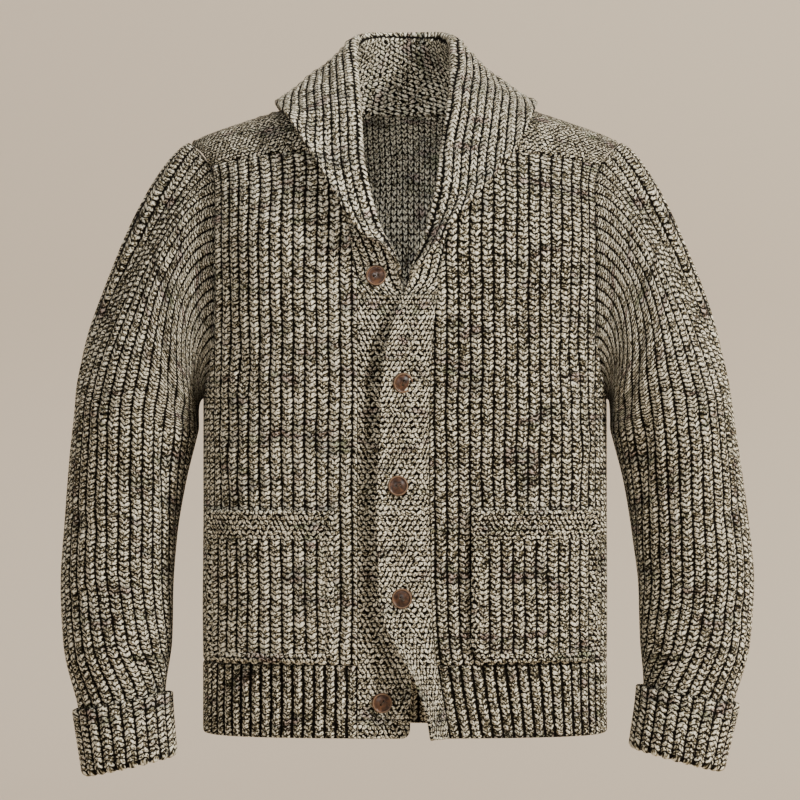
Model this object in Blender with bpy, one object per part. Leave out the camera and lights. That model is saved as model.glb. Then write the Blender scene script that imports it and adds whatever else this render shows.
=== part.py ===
"""A chunky knitted shawl-collar cardigan, filled out as if it were worn, with no wearer.

Frame: metres, +Z up, the front faces -Y, +X is the wearer's left.  The origin is on
the garment's centre plane at the level of the back neck seam, where shoulders carry it.

Every cloth piece is a closed wall.  It is laid out flat first, as a pattern outline
with its rib lines, and each pattern point is then placed on the filled-out form.
"""
import math

import bmesh
import bpy
import numpy as np
from mathutils import Vector
from mathutils.geometry import delaunay_2d_cdt

MM = 0.001

# ---------------------------------------------------------------- cloth
WALL = 3.4 * MM              # cloth thickness between the ribs
RIB_LIFT = 1.6 * MM          # height of a knit rib above the hollow beside it
HALF_LIFT = 0.5 * RIB_LIFT   # height along an edge where the ribs are bound off
RIB_PITCH = 12.4 * MM        # rib to rib on the body, sleeves, pockets and cuffs
HEM_PITCH = 11.5 * MM        # rib to rib on the hem
COLLAR_PITCH = 8.6 * MM      # rib to rib on the collar, whose ribs run along it
SEAM_GAP = 0.3 * MM          # space left between two pieces at a seam
LAY_GAP = 0.5 * MM           # space under a piece that lies on another

# ---------------------------------------------------------------- torso
HALF_WIDTH = 212.5 * MM      # centre to the inside of the side seam
SECTION_POWER = 2.8          # 2 is an ellipse, more is squarer
SHOULDER_START = -0.165      # height where the body starts to round over
SHOULDER_ARC = 0.245         # length of that rounding, from there to the ridge
SHOULDER_FLARE = 30 * MM     # how much the ridge is wider than the chest
FLARE_FROM = 0.36            # share of the rounding where that widening starts
HEM_TOP = -0.5905
HEM_BOTTOM = -0.6680
ARMHOLE_U = 0.947            # armhole line, as a share of the half width
ARMHOLE_TURN = -0.235        # height where the armhole starts to round under
ARMPIT = -0.310
BREAK = -0.200               # height where the collar starts and the bands end
RIDGE_TOP = 38.5 * MM        # shoulder ridge height, as if carried on to the centre
RIDGE_SLOPE = 0.27
RIDGE_CURVE = 0.25
MEAN_FRONT_DEPTH = 0.118     # for measuring arc distances round the front
MEAN_BACK_DEPTH = 0.109
# name of the level, height, depth of the front, depth of the back
BODY_DEPTHS = (
    ("hem", -0.670, 0.106, 0.106),
    ("hip", -0.550, 0.112, 0.107),
    ("waist", -0.420, 0.118, 0.107),
    ("chest", -0.300, 0.121, 0.111),
    ("yoke", -0.165, 0.118, 0.114),
)
# height, distance from the centre plane of the front's inner edge
RIGHT_EDGE = ((-0.668, -0.0504), (-0.200, -0.0504), (-0.165, -0.0540),
              (-0.120, -0.0610), (-0.080, -0.0690), (-0.045, -0.0770))
LEFT_EDGE = ((-0.668, 0.0462), (-0.614, 0.0375), (-0.5635, 0.0300), (-0.507, 0.0275),
             (-0.437, 0.0260), (-0.353, 0.0250), (-0.293, 0.0265), (-0.200, 0.0334),
             (-0.165, 0.0380), (-0.120, 0.0500), (-0.080, 0.0630), (-0.045, 0.0770))
# distance from the centre plane, share of the way from the chest up to the ridge
BACK_NECK = ((0.000, 0.591), (0.030, 0.629), (0.050, 0.660), (0.068, 0.725), (0.080, 0.845),
             (0.0855, 1.000), (0.0845, 1.236), (0.0810, 1.395))

# ---------------------------------------------------------------- sleeves
# station, centre x, centre y, centre z, half width, half depth, tilt in degrees
RIGHT_SLEEVE = (
    ("biceps", -0.2890, 0.000, -0.330, 0.0640, 0.0720, 12.7),
    ("above elbow", -0.3000, 0.000, -0.390, 0.0606, 0.0650, 11.6),
    ("elbow", -0.3068, -0.002, -0.450, 0.0578, 0.0590, 9.0),
    ("forearm", -0.3100, -0.008, -0.510, 0.0568, 0.0540, 5.0),
    ("lower arm", -0.3080, -0.017, -0.570, 0.0540, 0.0480, -2.0),
    ("wrist", -0.3030, -0.027, -0.637, 0.0430, 0.0350, -11.0),
    ("cuff end", -0.2955, -0.036, -0.697, 0.0405, 0.0340, -13.0),
)
LEFT_SLEEVE = (
    ("biceps", 0.2870, 0.000, -0.330, 0.0630, 0.0720, 12.7),
    ("above elbow", 0.2990, 0.000, -0.390, 0.0600, 0.0650, 11.6),
    ("elbow", 0.3075, -0.002, -0.450, 0.0590, 0.0590, 9.0),
    ("forearm", 0.3130, -0.008, -0.510, 0.0578, 0.0540, 5.0),
    ("lower arm", 0.3110, -0.017, -0.570, 0.0545, 0.0480, -2.0),
    ("wrist", 0.3030, -0.027, -0.632, 0.0445, 0.0360, -11.0),
    ("cuff end", 0.2915, -0.036, -0.690, 0.0415, 0.0345, -15.0),
)
CAP_HEIGHT = 0.300           # length of the sleeve's top line above the biceps
CAP_PUSH = 0.150             # how strongly the cap sets off from the shoulder
CAP_PUSH_ARMPIT = 0.060      # the same at the armpit
ARMPIT_EASE = 2.0 * MM       # extra room over the body's edge under the arm
CAP_PULL = 0.210             # how strongly it runs into the biceps
CAP_PULL_ARMPIT = 0.030
CUFF_COARSE = 4              # half ribs between the lines on the cuff's plain parts
CUFF_HEIGHT = 64 * MM        # the turned-back part
CUFF_INSIDE = 44 * MM        # the part inside the turned-back one
CUFF_LAYER = 7.0 * MM        # from the sleeve's inside to the turned-back part's inside

# ---------------------------------------------------------------- bands, collar, pockets
# height, x of the free edge, how far the free edge stands off the body's form
LEFT_BAND = ((-0.668, 0.0190, 34 * MM), (-0.647, 0.0160, 29 * MM), (-0.614, 0.0070, 22 * MM),
             (-0.580, -0.0075, 15 * MM), (-0.552, -0.0205, 10 * MM), (-0.515, -0.0285, 7 * MM),
             (-0.465, -0.0290, 6.5 * MM), (-0.433, -0.0310, 6.5 * MM), (-0.353, -0.0275, 6.5 * MM),
             (-0.293, -0.0253, 6.5 * MM), (-0.257, -0.0200, 6.5 * MM), (-0.200, -0.0045, 6 * MM))
RIGHT_BAND = ((-0.668, 0.0050, 0.0), (-0.560, 0.0080, 0.0), (-0.450, 0.0120, 0.0),
              (-0.300, 0.0100, 0.0), (-0.200, 0.0010, 0.0))
LYING_STAND = 7 * MM         # how far the top band stands off where it lies flat
BAND_CORNER = 9 * MM         # rounding of a band's lower corner
BAND_WIDTH = 56 * MM
# heights of the points along a band, below its upper end
BAND_HEIGHTS = (-0.225, -0.257, -0.293, -0.353, -0.433, -0.490, -0.530, -0.560, -0.590,
                -0.620, -0.645)
NECK_HEIGHTS = (-0.062, -0.080, -0.100, -0.120, -0.142, -0.165, BREAK)
SEAM_INNER = 0.352           # the shoulder seam's neck end, as a share of the half width
ROLL = 4.5 * MM              # radius inside the collar's roll
COLLAR_ROW = 28 * MM
# station, share of the way round the neck edge, fold x, y, z, free edge x, y, z,
# turn of the roll and rise of the stand from the body, in degrees
RIGHT_COLLAR = (
    ("break", 0.000, 0.0010, -0.1172, -0.2000, 0.0010, -0.1222, -0.2000, 0, 0),
    ("roll", 0.040, -0.0045, -0.1225, -0.1820, -0.0078, -0.1272, -0.1830, 60, 0),
    ("low lapel", 0.092, -0.0120, -0.1262, -0.1600, -0.0260, -0.1335, -0.1590, 140, 0),
    ("lapel", 0.174, -0.0270, -0.1242, -0.1250, -0.0500, -0.1325, -0.1370, 168, 0),
    ("mid lapel", 0.275, -0.0380, -0.1158, -0.0850, -0.0749, -0.1215, -0.0966, 174, 0),
    ("high lapel", 0.370, -0.0440, -0.0960, -0.0450, -0.1006, -0.1010, -0.0536, 176, 2),
    ("collar front", 0.490, -0.0465, -0.0670, 0.0040, -0.1280, -0.0600, -0.0100, 176, 10),
    ("shoulder", 0.655, -0.0505, -0.0120, 0.0560, -0.1385, -0.0170, 0.0055, 176, 28),
    ("behind shoulder", 0.760, -0.0515, 0.0280, 0.0840, -0.1340, 0.0380, 0.0010, 176, 50),
    ("back side", 0.865, -0.0340, 0.0600, 0.0915, -0.0900, 0.0880, -0.0180, 176, 58),
    ("back", 1.000, 0.0000, 0.0730, 0.0925, 0.0000, 0.1040, -0.0260, 176, 56),
)
LEFT_COLLAR = (
    ("break", 0.000, -0.0045, -0.1232, -0.2000, -0.0045, -0.1282, -0.2000, 0, 0),
    ("roll", 0.040, 0.0035, -0.1268, -0.1820, 0.0115, -0.1318, -0.1825, 60, 0),
    ("low lapel", 0.092, 0.0130, -0.1285, -0.1600, 0.0305, -0.1365, -0.1645, 140, 0),
    ("lapel", 0.174, 0.0235, -0.1250, -0.1250, 0.0505, -0.1330, -0.1320, 168, 0),
    ("mid lapel", 0.275, 0.0320, -0.1158, -0.0850, 0.0793, -0.1205, -0.0948, 174, 0),
    ("high lapel", 0.370, 0.0370, -0.0960, -0.0450, 0.1139, -0.0980, -0.0543, 176, 2),
    ("collar front", 0.490, 0.0445, -0.0670, 0.0040, 0.1363, -0.0570, -0.0093, 176, 10),
    ("shoulder", 0.655, 0.0490, -0.0120, 0.0560, 0.1410, -0.0170, 0.0055, 176, 28),
    ("behind shoulder", 0.760, 0.0495, 0.0280, 0.0840, 0.1355, 0.0380, 0.0010, 176, 50),
    ("back side", 0.865, 0.0340, 0.0600, 0.0915, 0.0900, 0.0880, -0.0180, 176, 58),
)
POCKET_TOP = -0.4270
POCKET_BOTTOM = -0.5880
POCKET_BORDER = 30 * MM      # plain border along the pocket's mouth
POCKET_CORNER = 20 * MM
RIGHT_POCKET = (-0.2220, -0.0745)   # arc distances of its sides from the centre
LEFT_POCKET = (0.0690, 0.2110)
BUTTON_RADIUS = 10.8 * MM
BUTTON_HOLE = 1.1 * MM       # radius of a thread hole
BUTTON_HOLE_OFFSET = 2.3 * MM
# name, x, z, band it is seen on
BUTTONS = (
    ("button_1", -0.0305, -0.1800, "right"),
    ("button_2", -0.0023, -0.2930, "left"),
    ("button_3", -0.0075, -0.4010, "left"),
    ("button_4", -0.0033, -0.5195, "left"),
    ("button_5", -0.0243, -0.6300, "right"),
)

KNIT = (0.150, 0.128, 0.088)
KNIT_LIGHT = (0.205, 0.180, 0.130)
BUTTON_BROWN = (0.105, 0.038, 0.018)


def remove_scene_objects():
    for old in list(bpy.data.objects):
        bpy.data.objects.remove(old, do_unlink=True)


def material(name, colour, roughness=0.95):
    made = bpy.data.materials.new(name)
    made.use_nodes = True
    shader = made.node_tree.nodes["Principled BSDF"]
    shader.inputs["Base Color"].default_value = (*colour, 1.0)
    shader.inputs["Roughness"].default_value = roughness
    return made


def ease(value):
    """0 to 1 with a soft start and end."""
    value = min(1.0, max(0.0, value))
    return value * value * (3.0 - 2.0 * value)


def smooth_rows(rows, at):
    """Values between the rows of a table, on a smooth curve that never overshoots."""
    rows = sorted(rows)
    xs = [row[0] for row in rows]
    at = min(max(at, xs[0]), xs[-1])
    i = min(max(int(np.searchsorted(xs, at)) - 1, 0), len(xs) - 2)
    step = xs[i + 1] - xs[i]
    t = (at - xs[i]) / step
    values = []
    for column in range(1, len(rows[0])):
        y = [row[column] for row in rows]
        slopes = [(y[k + 1] - y[k]) / (xs[k + 1] - xs[k]) for k in range(len(xs) - 1)]

        def tangent(k):
            if k == 0:
                return slopes[0]
            if k == len(slopes):
                return slopes[-1]
            if slopes[k - 1] * slopes[k] <= 0.0:
                return 0.0
            return 2.0 * slopes[k - 1] * slopes[k] / (slopes[k - 1] + slopes[k])

        h = t * t * (3.0 - 2.0 * t)
        bend = (t * (1 - t) ** 2 * tangent(i) - t * t * (1 - t) * tangent(i + 1)) * step
        values.append(y[i] * (1.0 - h) + y[i + 1] * h + bend)
    return values


# ------------------------------------------------------------------ torso form
def section_table(depth):
    """Arc length round a quarter of the body's section, from the centre to the side."""
    angles = np.linspace(0.0, math.pi / 2, 4001)
    u = np.sin(angles) ** (2.0 / SECTION_POWER)
    c = np.cos(angles) ** (2.0 / SECTION_POWER)
    steps = np.hypot(np.diff(u) * HALF_WIDTH, np.diff(c) * depth)
    return np.concatenate([[0.0], np.cumsum(steps)]), u, c


SECTIONS = {-1: section_table(MEAN_FRONT_DEPTH), 1: section_table(MEAN_BACK_DEPTH)}
QUARTER = {side: SECTIONS[side][0][-1] for side in SECTIONS}


def section_point(arc, side):
    """Share of the half width and of the depth at an arc distance from the centre.

    side is -1 for the front and 1 for the back; past the side seam the depth turns
    negative, which carries the section on round the other side."""
    lengths, us, cs = SECTIONS[side]
    distance = abs(arc)
    turn = 1.0
    if distance > lengths[-1]:
        distance = 2.0 * lengths[-1] - distance
        turn = -1.0
    u = float(np.interp(distance, lengths, us))
    c = float(np.interp(distance, lengths, cs))
    return math.copysign(u, arc), turn * c


def arc_of(u, side):
    lengths, us, _ = SECTIONS[side]
    return math.copysign(float(np.interp(abs(u), us, lengths)), u)


def ridge_height(x):
    x = abs(x)
    return RIDGE_TOP - RIDGE_SLOPE * x - RIDGE_CURVE * x * x


def shoulder_flare(top):
    """How much wider the body is at a share of the way up to the ridge."""
    return SHOULDER_FLARE * ease((top - FLARE_FROM) / (1.0 - FLARE_FROM))


def torso_point(arc, rise, side):
    """A point of the body's inner surface.

    rise is a height up to SHOULDER_START and then a length along the rounding, over the
    ridge and down the other side."""
    u, c = section_point(arc, side)
    share = max(0.0, (rise - SHOULDER_START) / SHOULDER_ARC)
    turn = share * math.pi / 2
    top = 1.0 - abs(1.0 - share) if share <= 2.0 else 0.0
    x = (HALF_WIDTH + shoulder_flare(top)) * u
    if share == 0.0:
        z = rise
    else:
        z = SHOULDER_START + (ridge_height(x) - SHOULDER_START) * math.sin(turn)
    level = min(z, SHOULDER_START) if share > 0.0 else z
    front, back = smooth_rows([row[1:] for row in BODY_DEPTHS], level)
    along = side * c * math.cos(turn)
    y = along * (front if along < 0.0 else back)
    return Vector((x, y, z))


def torso(arc, rise, side):
    """A point of the body's inner surface and its outward direction there."""
    step = 0.4 * MM
    point = torso_point(arc, rise, side)
    across = torso_point(arc + step, rise, side) - torso_point(arc - step, rise, side)
    up = torso_point(arc, rise + step, side) - torso_point(arc, rise - step, side)
    out = across.cross(up) * (-side)
    if rise < SHOULDER_START:
        out.z *= ease((rise + 0.30) / 0.10)
    return point, out.normalized()


def rise_of_height(z, x, side):
    """The rise of the point at a height, on the side that the panel starts from."""
    if z <= SHOULDER_START:
        return z
    share = (z - SHOULDER_START) / (ridge_height(x) - SHOULDER_START)
    return SHOULDER_START + SHOULDER_ARC * math.asin(min(1.0, share)) / (math.pi / 2)


def arc_at(x, rise, side):
    """The arc distance whose point has this x, at this rise."""
    share = max(0.0, (rise - SHOULDER_START) / SHOULDER_ARC)
    top = 1.0 - abs(1.0 - share)
    return arc_of(x / (HALF_WIDTH + shoulder_flare(top)), side)


def shoulder_seam_turn(u):
    """Where the forward shoulder seam lies, as a share of the way up to the ridge."""
    return (0.62 + 0.26 * abs(u)) / (math.pi / 2)


# ------------------------------------------------------------------ cloth walls
def inside_depth(outline, points):
    """How deep each point lies inside a closed outline, negative where it is outside."""
    a = np.array(outline)
    b = np.roll(a, -1, axis=0)
    depths = []
    for p in np.array(points):
        edge = b - a
        t = np.clip(((p - a) * edge).sum(1) / np.maximum((edge ** 2).sum(1), 1e-18), 0, 1)
        nearest = np.sqrt((((a + edge * t[:, None]) - p) ** 2).sum(1)).min()
        spans = (a[:, 1] > p[1]) != (b[:, 1] > p[1])
        with np.errstate(divide="ignore", invalid="ignore"):
            cross = a[:, 0] + (p[1] - a[:, 1]) / (b[:, 1] - a[:, 1]) * edge[:, 0]
        odd = int((spans & (p[0] < cross)).sum()) % 2 == 1
        depths.append(nearest if odd else -nearest)
    return np.array(depths)


def lines_inside(outline, lines, rows, margin):
    """Pattern lines cut to the part inside the outline, with points at the given rows.

    lines are (u, lift); each line runs along v at its u."""
    low = min(p[1] for p in outline)
    high = max(p[1] for p in outline)
    samples = np.linspace(low, high, 160)
    cut = []
    for u, lift in lines:
        inside = inside_depth(outline, [(u, v) for v in samples]) > margin
        start = None
        for k in range(len(samples) + 1):
            within = k < len(samples) and inside[k]
            if within and start is None:
                start = k
            if not within and start is not None:
                v0, v1 = samples[start], samples[k - 1]
                start = None
                if v1 - v0 < 2 * margin:
                    continue
                kept = [v for v in rows if v0 + 4 * margin < v < v1 - 4 * margin]
                cut.append([(u, v, lift) for v in [v0, *kept, v1]])
    return cut


def triangulated(outline, lines, cell):
    """Triangles of a flat pattern whose outline and lines are kept as edges."""
    points = [(u, v) for u, v, _ in outline]
    edges = [(k, (k + 1) % len(outline)) for k in range(len(outline))]
    for line in lines:
        first = len(points)
        points += [(u, v) for u, v, _ in line]
        edges += [(first + k, first + k + 1) for k in range(len(line) - 1)]
    flat = [Vector((u / cell[0], v / cell[1])) for u, v in points]
    _, _, faces, origins, _, _ = delaunay_2d_cdt(flat, edges, [], 1, 1e-7)
    return [[origins[k][0] for k in face] for face in faces]


def ribs_between(low, high, pitch, start=0.0):
    """Rib crests and the hollows between them, as (u, lift), at half the pitch."""
    first = math.ceil((low - start) / (pitch / 2))
    last = math.floor((high - start) / (pitch / 2))
    return [(start + k * pitch / 2, RIB_LIFT if k % 2 == 0 else 0.0)
            for k in range(first, last + 1)]


def cloth_wall(name, look, runs, outer_lines, inner_lines, place, cell, inner_cell=None):
    """One closed piece of cloth.

    runs go round the flat pattern: each is (points, rimmed), where a point is
    (u, v, lift).  A run that isn't rimmed is one side of a join that closes a tube.
    place turns (u, v) into a point of the wall's plain face and its direction out."""
    outline = []
    rims = []
    for points, rimmed in runs:
        for point in points[:-1]:
            rims.append(rimmed)
            outline.append(point)
    mesh = bmesh.new()
    rings = []
    plain_cell = inner_cell or (cell[1], cell[1])
    for lines, raised in ((outer_lines, True), (inner_lines, False)):
        verts = []
        for u, v, lift in outline + [point for line in lines for point in line]:
            point, out = place(u, v)
            if raised:
                point = point + out * (WALL + lift)
            verts.append(mesh.verts.new(point))
        for face in triangulated(outline, lines, cell if raised else plain_cell):
            corners = [verts[k] for k in face]
            mesh.faces.new(corners if raised else corners[::-1])
        rings.append(verts[:len(outline)])
    outer, inner = rings
    for k, rimmed in enumerate(rims):
        after = (k + 1) % len(rims)
        if rimmed:
            mesh.faces.new([outer[k], inner[k], inner[after], outer[after]])
    bmesh.ops.remove_doubles(mesh, verts=mesh.verts, dist=1e-6)
    bmesh.ops.recalc_face_normals(mesh, faces=mesh.faces)
    if mesh.calc_volume(signed=True) < 0.0:
        bmesh.ops.reverse_faces(mesh, faces=mesh.faces)
    bmesh.ops.triangulate(mesh, faces=mesh.faces, quad_method="SHORT_EDGE")
    data = bpy.data.meshes.new(name)
    mesh.to_mesh(data)
    mesh.free()
    data.materials.append(look)
    data.shade_smooth()
    data.set_sharp_from_angle(angle=math.radians(50))
    made = bpy.data.objects.new(name, data)
    bpy.context.scene.collection.objects.link(made)
    return made


def straight(start, end, count, lift=0.0):
    """Points of a straight run, both ends included."""
    return [(start[0] + (end[0] - start[0]) * k / count,
             start[1] + (end[1] - start[1]) * k / count, lift) for k in range(count + 1)]


# ------------------------------------------------------------------ body panels
BODY_ROWS = [-0.520, -0.440, -0.360, -0.290, -0.235, -0.190]
CAP_ROWS = [SHOULDER_START + SHOULDER_ARC * k / 7 for k in range(15)]
BODY_CELL = (RIB_PITCH / 2, 38 * MM)
LEAN_TOP = -0.437            # height where the left front's ribs start to lean
LEAN_START = 20 * MM         # arc distance up to which they lean fully
LEAN_REACH = 130 * MM        # width over which the leaning fades
RIB_MARGIN = 2.4 * MM
SEAM_MARGIN = 5 * MM
# shares of the rounding at the armhole's points near the ridge, from the back to the front
BACK_ARMHOLE_TOP = 0.75
BEHIND_RIDGE = (0.72, 0.86)
BEFORE_RIDGE = (1.14, 1.28)


def armhole_run(side, sign):
    """The lower armhole, from the side seam up to where the armhole runs straight."""
    arm = arc_of(ARMHOLE_U, side)
    quarter = QUARTER[side]
    points = []
    for k in range(6):
        angle = math.pi / 2 * (1.0 - k / 5)
        arc = arm + (quarter - arm) * (1.0 - math.cos(angle))
        rise = ARMHOLE_TURN + (ARMPIT - ARMHOLE_TURN) * math.sin(angle)
        points.append((sign * arc, rise, 0.0))
    return points


def armhole_rises(last):
    """Heights of the armhole's points above the turn, up to the last one."""
    rises = [-0.205, SHOULDER_START]
    rises += [SHOULDER_START + SHOULDER_ARC * share for share in (0.14, 0.28, 0.42, 0.56)]
    return [rise for rise in rises if rise < last - 8 * MM]


def shoulder_seam_points():
    """The shoulder seam's points as shares of the half width, from the armhole inwards."""
    return [ARMHOLE_U + (SEAM_INNER - ARMHOLE_U) * k / 6 for k in range(7)]


def edge_x(rows, z):
    return smooth_rows(rows, z)[0]


def front_panel(name, look, sign, edge_rows):
    """A front, from the hem ribbing up to the forward shoulder seam."""
    side = -1
    quarter = QUARTER[side]
    arm = sign * arc_of(ARMHOLE_U, side)
    seam = []
    for u in shoulder_seam_points():
        rise = SHOULDER_START + SHOULDER_ARC * shoulder_seam_turn(u) - SEAM_GAP
        seam.append((sign * arc_of(u, side), rise, 0.0))
    neck = [seam[-1]]
    for z in NECK_HEIGHTS:
        x = edge_x(edge_rows, z)
        rise = rise_of_height(z, x, side)
        neck.append((arc_at(x, rise, side), rise, 0.0))
    band = []
    for z in [BREAK, -0.257, -0.293, -0.353, -0.433, -0.507, -0.552, HEM_TOP]:
        band.append((arc_at(edge_x(edge_rows, z), z, side), z, 0.0))
    hem = straight((band[-1][0], HEM_TOP), (sign * quarter, HEM_TOP), 12)
    side_seam = straight((sign * quarter, HEM_TOP), (sign * quarter, ARMPIT), 4)
    arm_top = seam[0][1]
    armhole = armhole_run(side, sign)
    armhole += [(arm, rise, 0.0) for rise in armhole_rises(arm_top)]
    armhole.append(seam[0])
    runs = [(hem, True), (side_seam, True), (armhole, True), (seam, True), (neck, True),
            (band, True)]
    flat = [(p[0], p[1]) for points, _ in runs for p in points[:-1]]
    low, high = sorted((min(abs(p[0]) for p in flat) * sign, sign * quarter))
    lean = sign > 0

    def leaning(points):
        if not lean:
            return points
        return [(u + seam_lean(u, v), v, lift) for u, v, lift in points]

    def upright(points):
        return [(u - seam_lean(u, v) if lean else u, v) for u, v in points]

    rows = BODY_ROWS + CAP_ROWS[1:5]
    shape = upright(flat)
    outer = lines_inside(shape, ribs_between(low - 0.02, high, RIB_PITCH), rows, RIB_MARGIN)
    inner = lines_inside(shape, [(u, 0.0) for u, _ in
                                 ribs_between(low - 0.02, high, 5 * RIB_PITCH)],
                         rows, RIB_MARGIN)
    outer = [leaning(line) for line in outer]
    inner = [leaning(line) for line in inner]

    def place(u, v):
        point, out = torso(u, v, side)
        if abs(abs(u) - quarter) < 1e-6:
            point.y = -SEAM_GAP / 2
            out = Vector((out.x, 0.0, out.z)).normalized()
        return point, out

    return cloth_wall(name, look, runs, outer, inner, place, BODY_CELL)


def seam_lean(arc, rise):
    """How far the left front's lower ribs lean towards its side, with its edge."""
    swung = edge_x(LEFT_EDGE, max(min(rise, LEAN_TOP), HEM_BOTTOM))
    lean = swung - edge_x(LEFT_EDGE, LEAN_TOP)
    return lean * ease(1.0 - (arc - LEAN_START) / LEAN_REACH)


def back_panel(look):
    """The back, which runs up over the shoulders to the forward shoulder seam."""
    side = 1
    quarter = QUARTER[side]
    arm = arc_of(ARMHOLE_U, side)
    half = armhole_run(side, 1)
    straight_top = SHOULDER_START + SHOULDER_ARC * BACK_ARMHOLE_TOP
    half += [(arm, rise, 0.0) for rise in armhole_rises(straight_top)]
    half += [(arm, SHOULDER_START + SHOULDER_ARC * share, 0.0) for share in
             (*BEHIND_RIDGE, 1.0, *BEFORE_RIDGE)]
    seam = []
    for u in shoulder_seam_points():
        share = 2.0 - shoulder_seam_turn(u)
        seam.append((arc_of(u, side), SHOULDER_START + SHOULDER_ARC * share, 0.0))
    half.append(seam[0])
    neck = [seam[-1]]
    for x, share in reversed(BACK_NECK):
        rise = SHOULDER_START + SHOULDER_ARC * share
        neck.append((arc_at(x, rise, side), rise, 0.0))

    def mirrored(points):
        return [(-u, v, lift) for u, v, lift in reversed(points)]

    hem = straight((-quarter, HEM_TOP), (quarter, HEM_TOP), 24)
    side_seam = straight((quarter, HEM_TOP), (quarter, ARMPIT), 4)
    runs = [(hem, True), (side_seam, True), (half, True), (seam, True), (neck, True),
            (mirrored(neck), True), (mirrored(seam), True), (mirrored(half), True),
            (mirrored(side_seam), True)]
    flat = [(p[0], p[1]) for points, _ in runs for p in points[:-1]]
    rows = BODY_ROWS + CAP_ROWS[1:13:2]
    outer = lines_inside(flat, ribs_between(-quarter, quarter, RIB_PITCH), rows, RIB_MARGIN)
    sparse = [(u, 0.0) for u, _ in ribs_between(-quarter, quarter, 5 * RIB_PITCH)]
    inner = lines_inside(flat, sparse, rows, RIB_MARGIN)

    def place(u, v):
        point, out = torso(u, v, side)
        if abs(abs(u) - quarter) < 1e-6:
            point.y = SEAM_GAP / 2
            out = Vector((out.x, 0.0, out.z)).normalized()
        return point, out

    return cloth_wall("back", look, runs, outer, inner, place, BODY_CELL)


def hem_rib(name, look, side, start, end, edge_rows=None):
    """A hem band of ribbing, from the panel's lower edge down to the free edge."""
    top = HEM_TOP - SEAM_GAP
    bottom = HEM_BOTTOM
    quarter = QUARTER[side]
    count = max(4, round(abs(end - start) / (HEM_PITCH / 2)))
    free = [(start + (end - start) * k / count, bottom, RIB_LIFT if k % 2 else 0.0)
            for k in range(count + 1)]
    upper = straight((end, top), (start, top), count // 3)
    runs = [(free, True), (straight((end, bottom), (end, top), 2), True), (upper, True),
            (straight((start, top), (start, bottom), 2), True)]
    rows = [bottom + 38 * MM, top - 4 * MM]
    outer = [[(u, v, lift) for v in rows] for u, _, lift in free[1:-1]]
    inner = [[(u, v, 0.0) for v in rows] for u, _, _ in free[4:-1:5]]

    def place(u, v):
        arc = u
        if edge_rows is not None:
            inner_edge = arc_at(edge_x(edge_rows, v), v, side)
            outer_edge = math.copysign(quarter, inner_edge)
            share = (u - start) / (end - start)
            arc = inner_edge + (outer_edge - inner_edge) * share
        point, out = torso(arc, v, side)
        if abs(abs(arc) - quarter) < 1e-6:
            point.y = side * SEAM_GAP / 2
            out = Vector((out.x, 0.0, 0.0)).normalized()
        return point, out

    return cloth_wall(name, look, runs, outer, inner, place, (HEM_PITCH / 2, 20 * MM))


# ------------------------------------------------------------------ bands
def band_section(z, share, seam_rows, free_rows):
    """A point across a band: share 0 is its seam, 1 its free edge."""
    x0 = edge_x(seam_rows, z)
    x1, stand = smooth_rows(free_rows, z)
    x = x0 + (x1 - x0) * share
    rise = min(z, SHOULDER_START)
    base, _ = torso(arc_at(x, rise, -1), rise, -1)
    lying = min(stand, LYING_STAND)
    off = lying * ease(share * 2.6) + (stand - lying) * share ** 1.6
    return Vector((x, base.y - off, z))


def band(name, look, seam_rows, free_rows):
    """A button band: a long flat strip from the break down to the hem's lower edge."""
    gap = SEAM_GAP if seam_rows is LEFT_EDGE else -SEAM_GAP
    top = BREAK - SEAM_GAP
    width = BAND_WIDTH
    shares = [0.0, 0.2, 0.4, 0.6, 0.8, 1.0]
    heights = [top, *BAND_HEIGHTS]
    low = HEM_BOTTOM
    lower = [(share * width, low, 0.0) for share in shares[:-1]]
    rounded = [(width - BAND_CORNER * (1 - math.sin(a)), low + BAND_CORNER * (1 - math.cos(a)), 0.0)
               for a in (0.0, math.pi / 6, math.pi / 3, math.pi / 2)]
    free = [(width, z, 0.0) for z in reversed(heights)]
    upper = [(share * width, top, 0.0) for share in reversed(shares)]
    seam = [(0.0, z, 0.0) for z in heights] + [(0.0, low, 0.0)]
    runs = [(lower + rounded, True), ([rounded[-1]] + free, True), (upper, True), (seam, True)]
    lines = [[(share * width, z, 0.0) for z in heights[1:]] for share in shares[1:-1]]

    def surface(u, v):
        return band_section(v, u / width, seam_rows, free_rows)

    def place(u, v):
        step = 0.5 * MM
        point = surface(u, v)
        across = surface(min(u + step, width), v) - surface(max(u - step, 0.0), v)
        out = Vector((across.y, -across.x, 0.0)).normalized()
        if out.y > 0.0:
            out.negate()
        if u < 1e-9:
            out = torso(arc_at(point.x, v, -1), v, -1)[1]
            point.x -= gap
        return point, out

    return cloth_wall(name, look, runs, lines, lines, place, (width / 5, 30 * MM))


# ------------------------------------------------------------------ sleeves and cuffs
def ring_axes(table, height):
    """Centre, half sizes and directions of a sleeve's section at a centre height."""
    rows = [(row[3], row[1], row[2], row[4], row[5], row[6]) for row in table]
    cx, cy, half_width, half_depth, tilt = smooth_rows(rows, height)
    sign = math.copysign(1.0, table[0][1])
    angle = math.radians(tilt)
    across = Vector((sign * math.cos(angle), 0.0, math.sin(angle)))
    return Vector((cx, cy, height)), across, half_width, half_depth


RING_ANGLES = np.linspace(0.0, math.pi, 721)


def ring_angle(share, half_width, half_depth):
    """Angle from the outer line at a share of half the section's length."""
    lengths = np.hypot(half_width * np.sin(RING_ANGLES), half_depth * np.cos(RING_ANGLES))
    total = np.concatenate([[0.0], np.cumsum((lengths[1:] + lengths[:-1]) / 2)])
    return float(np.interp(share * total[-1], total, RING_ANGLES))


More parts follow.
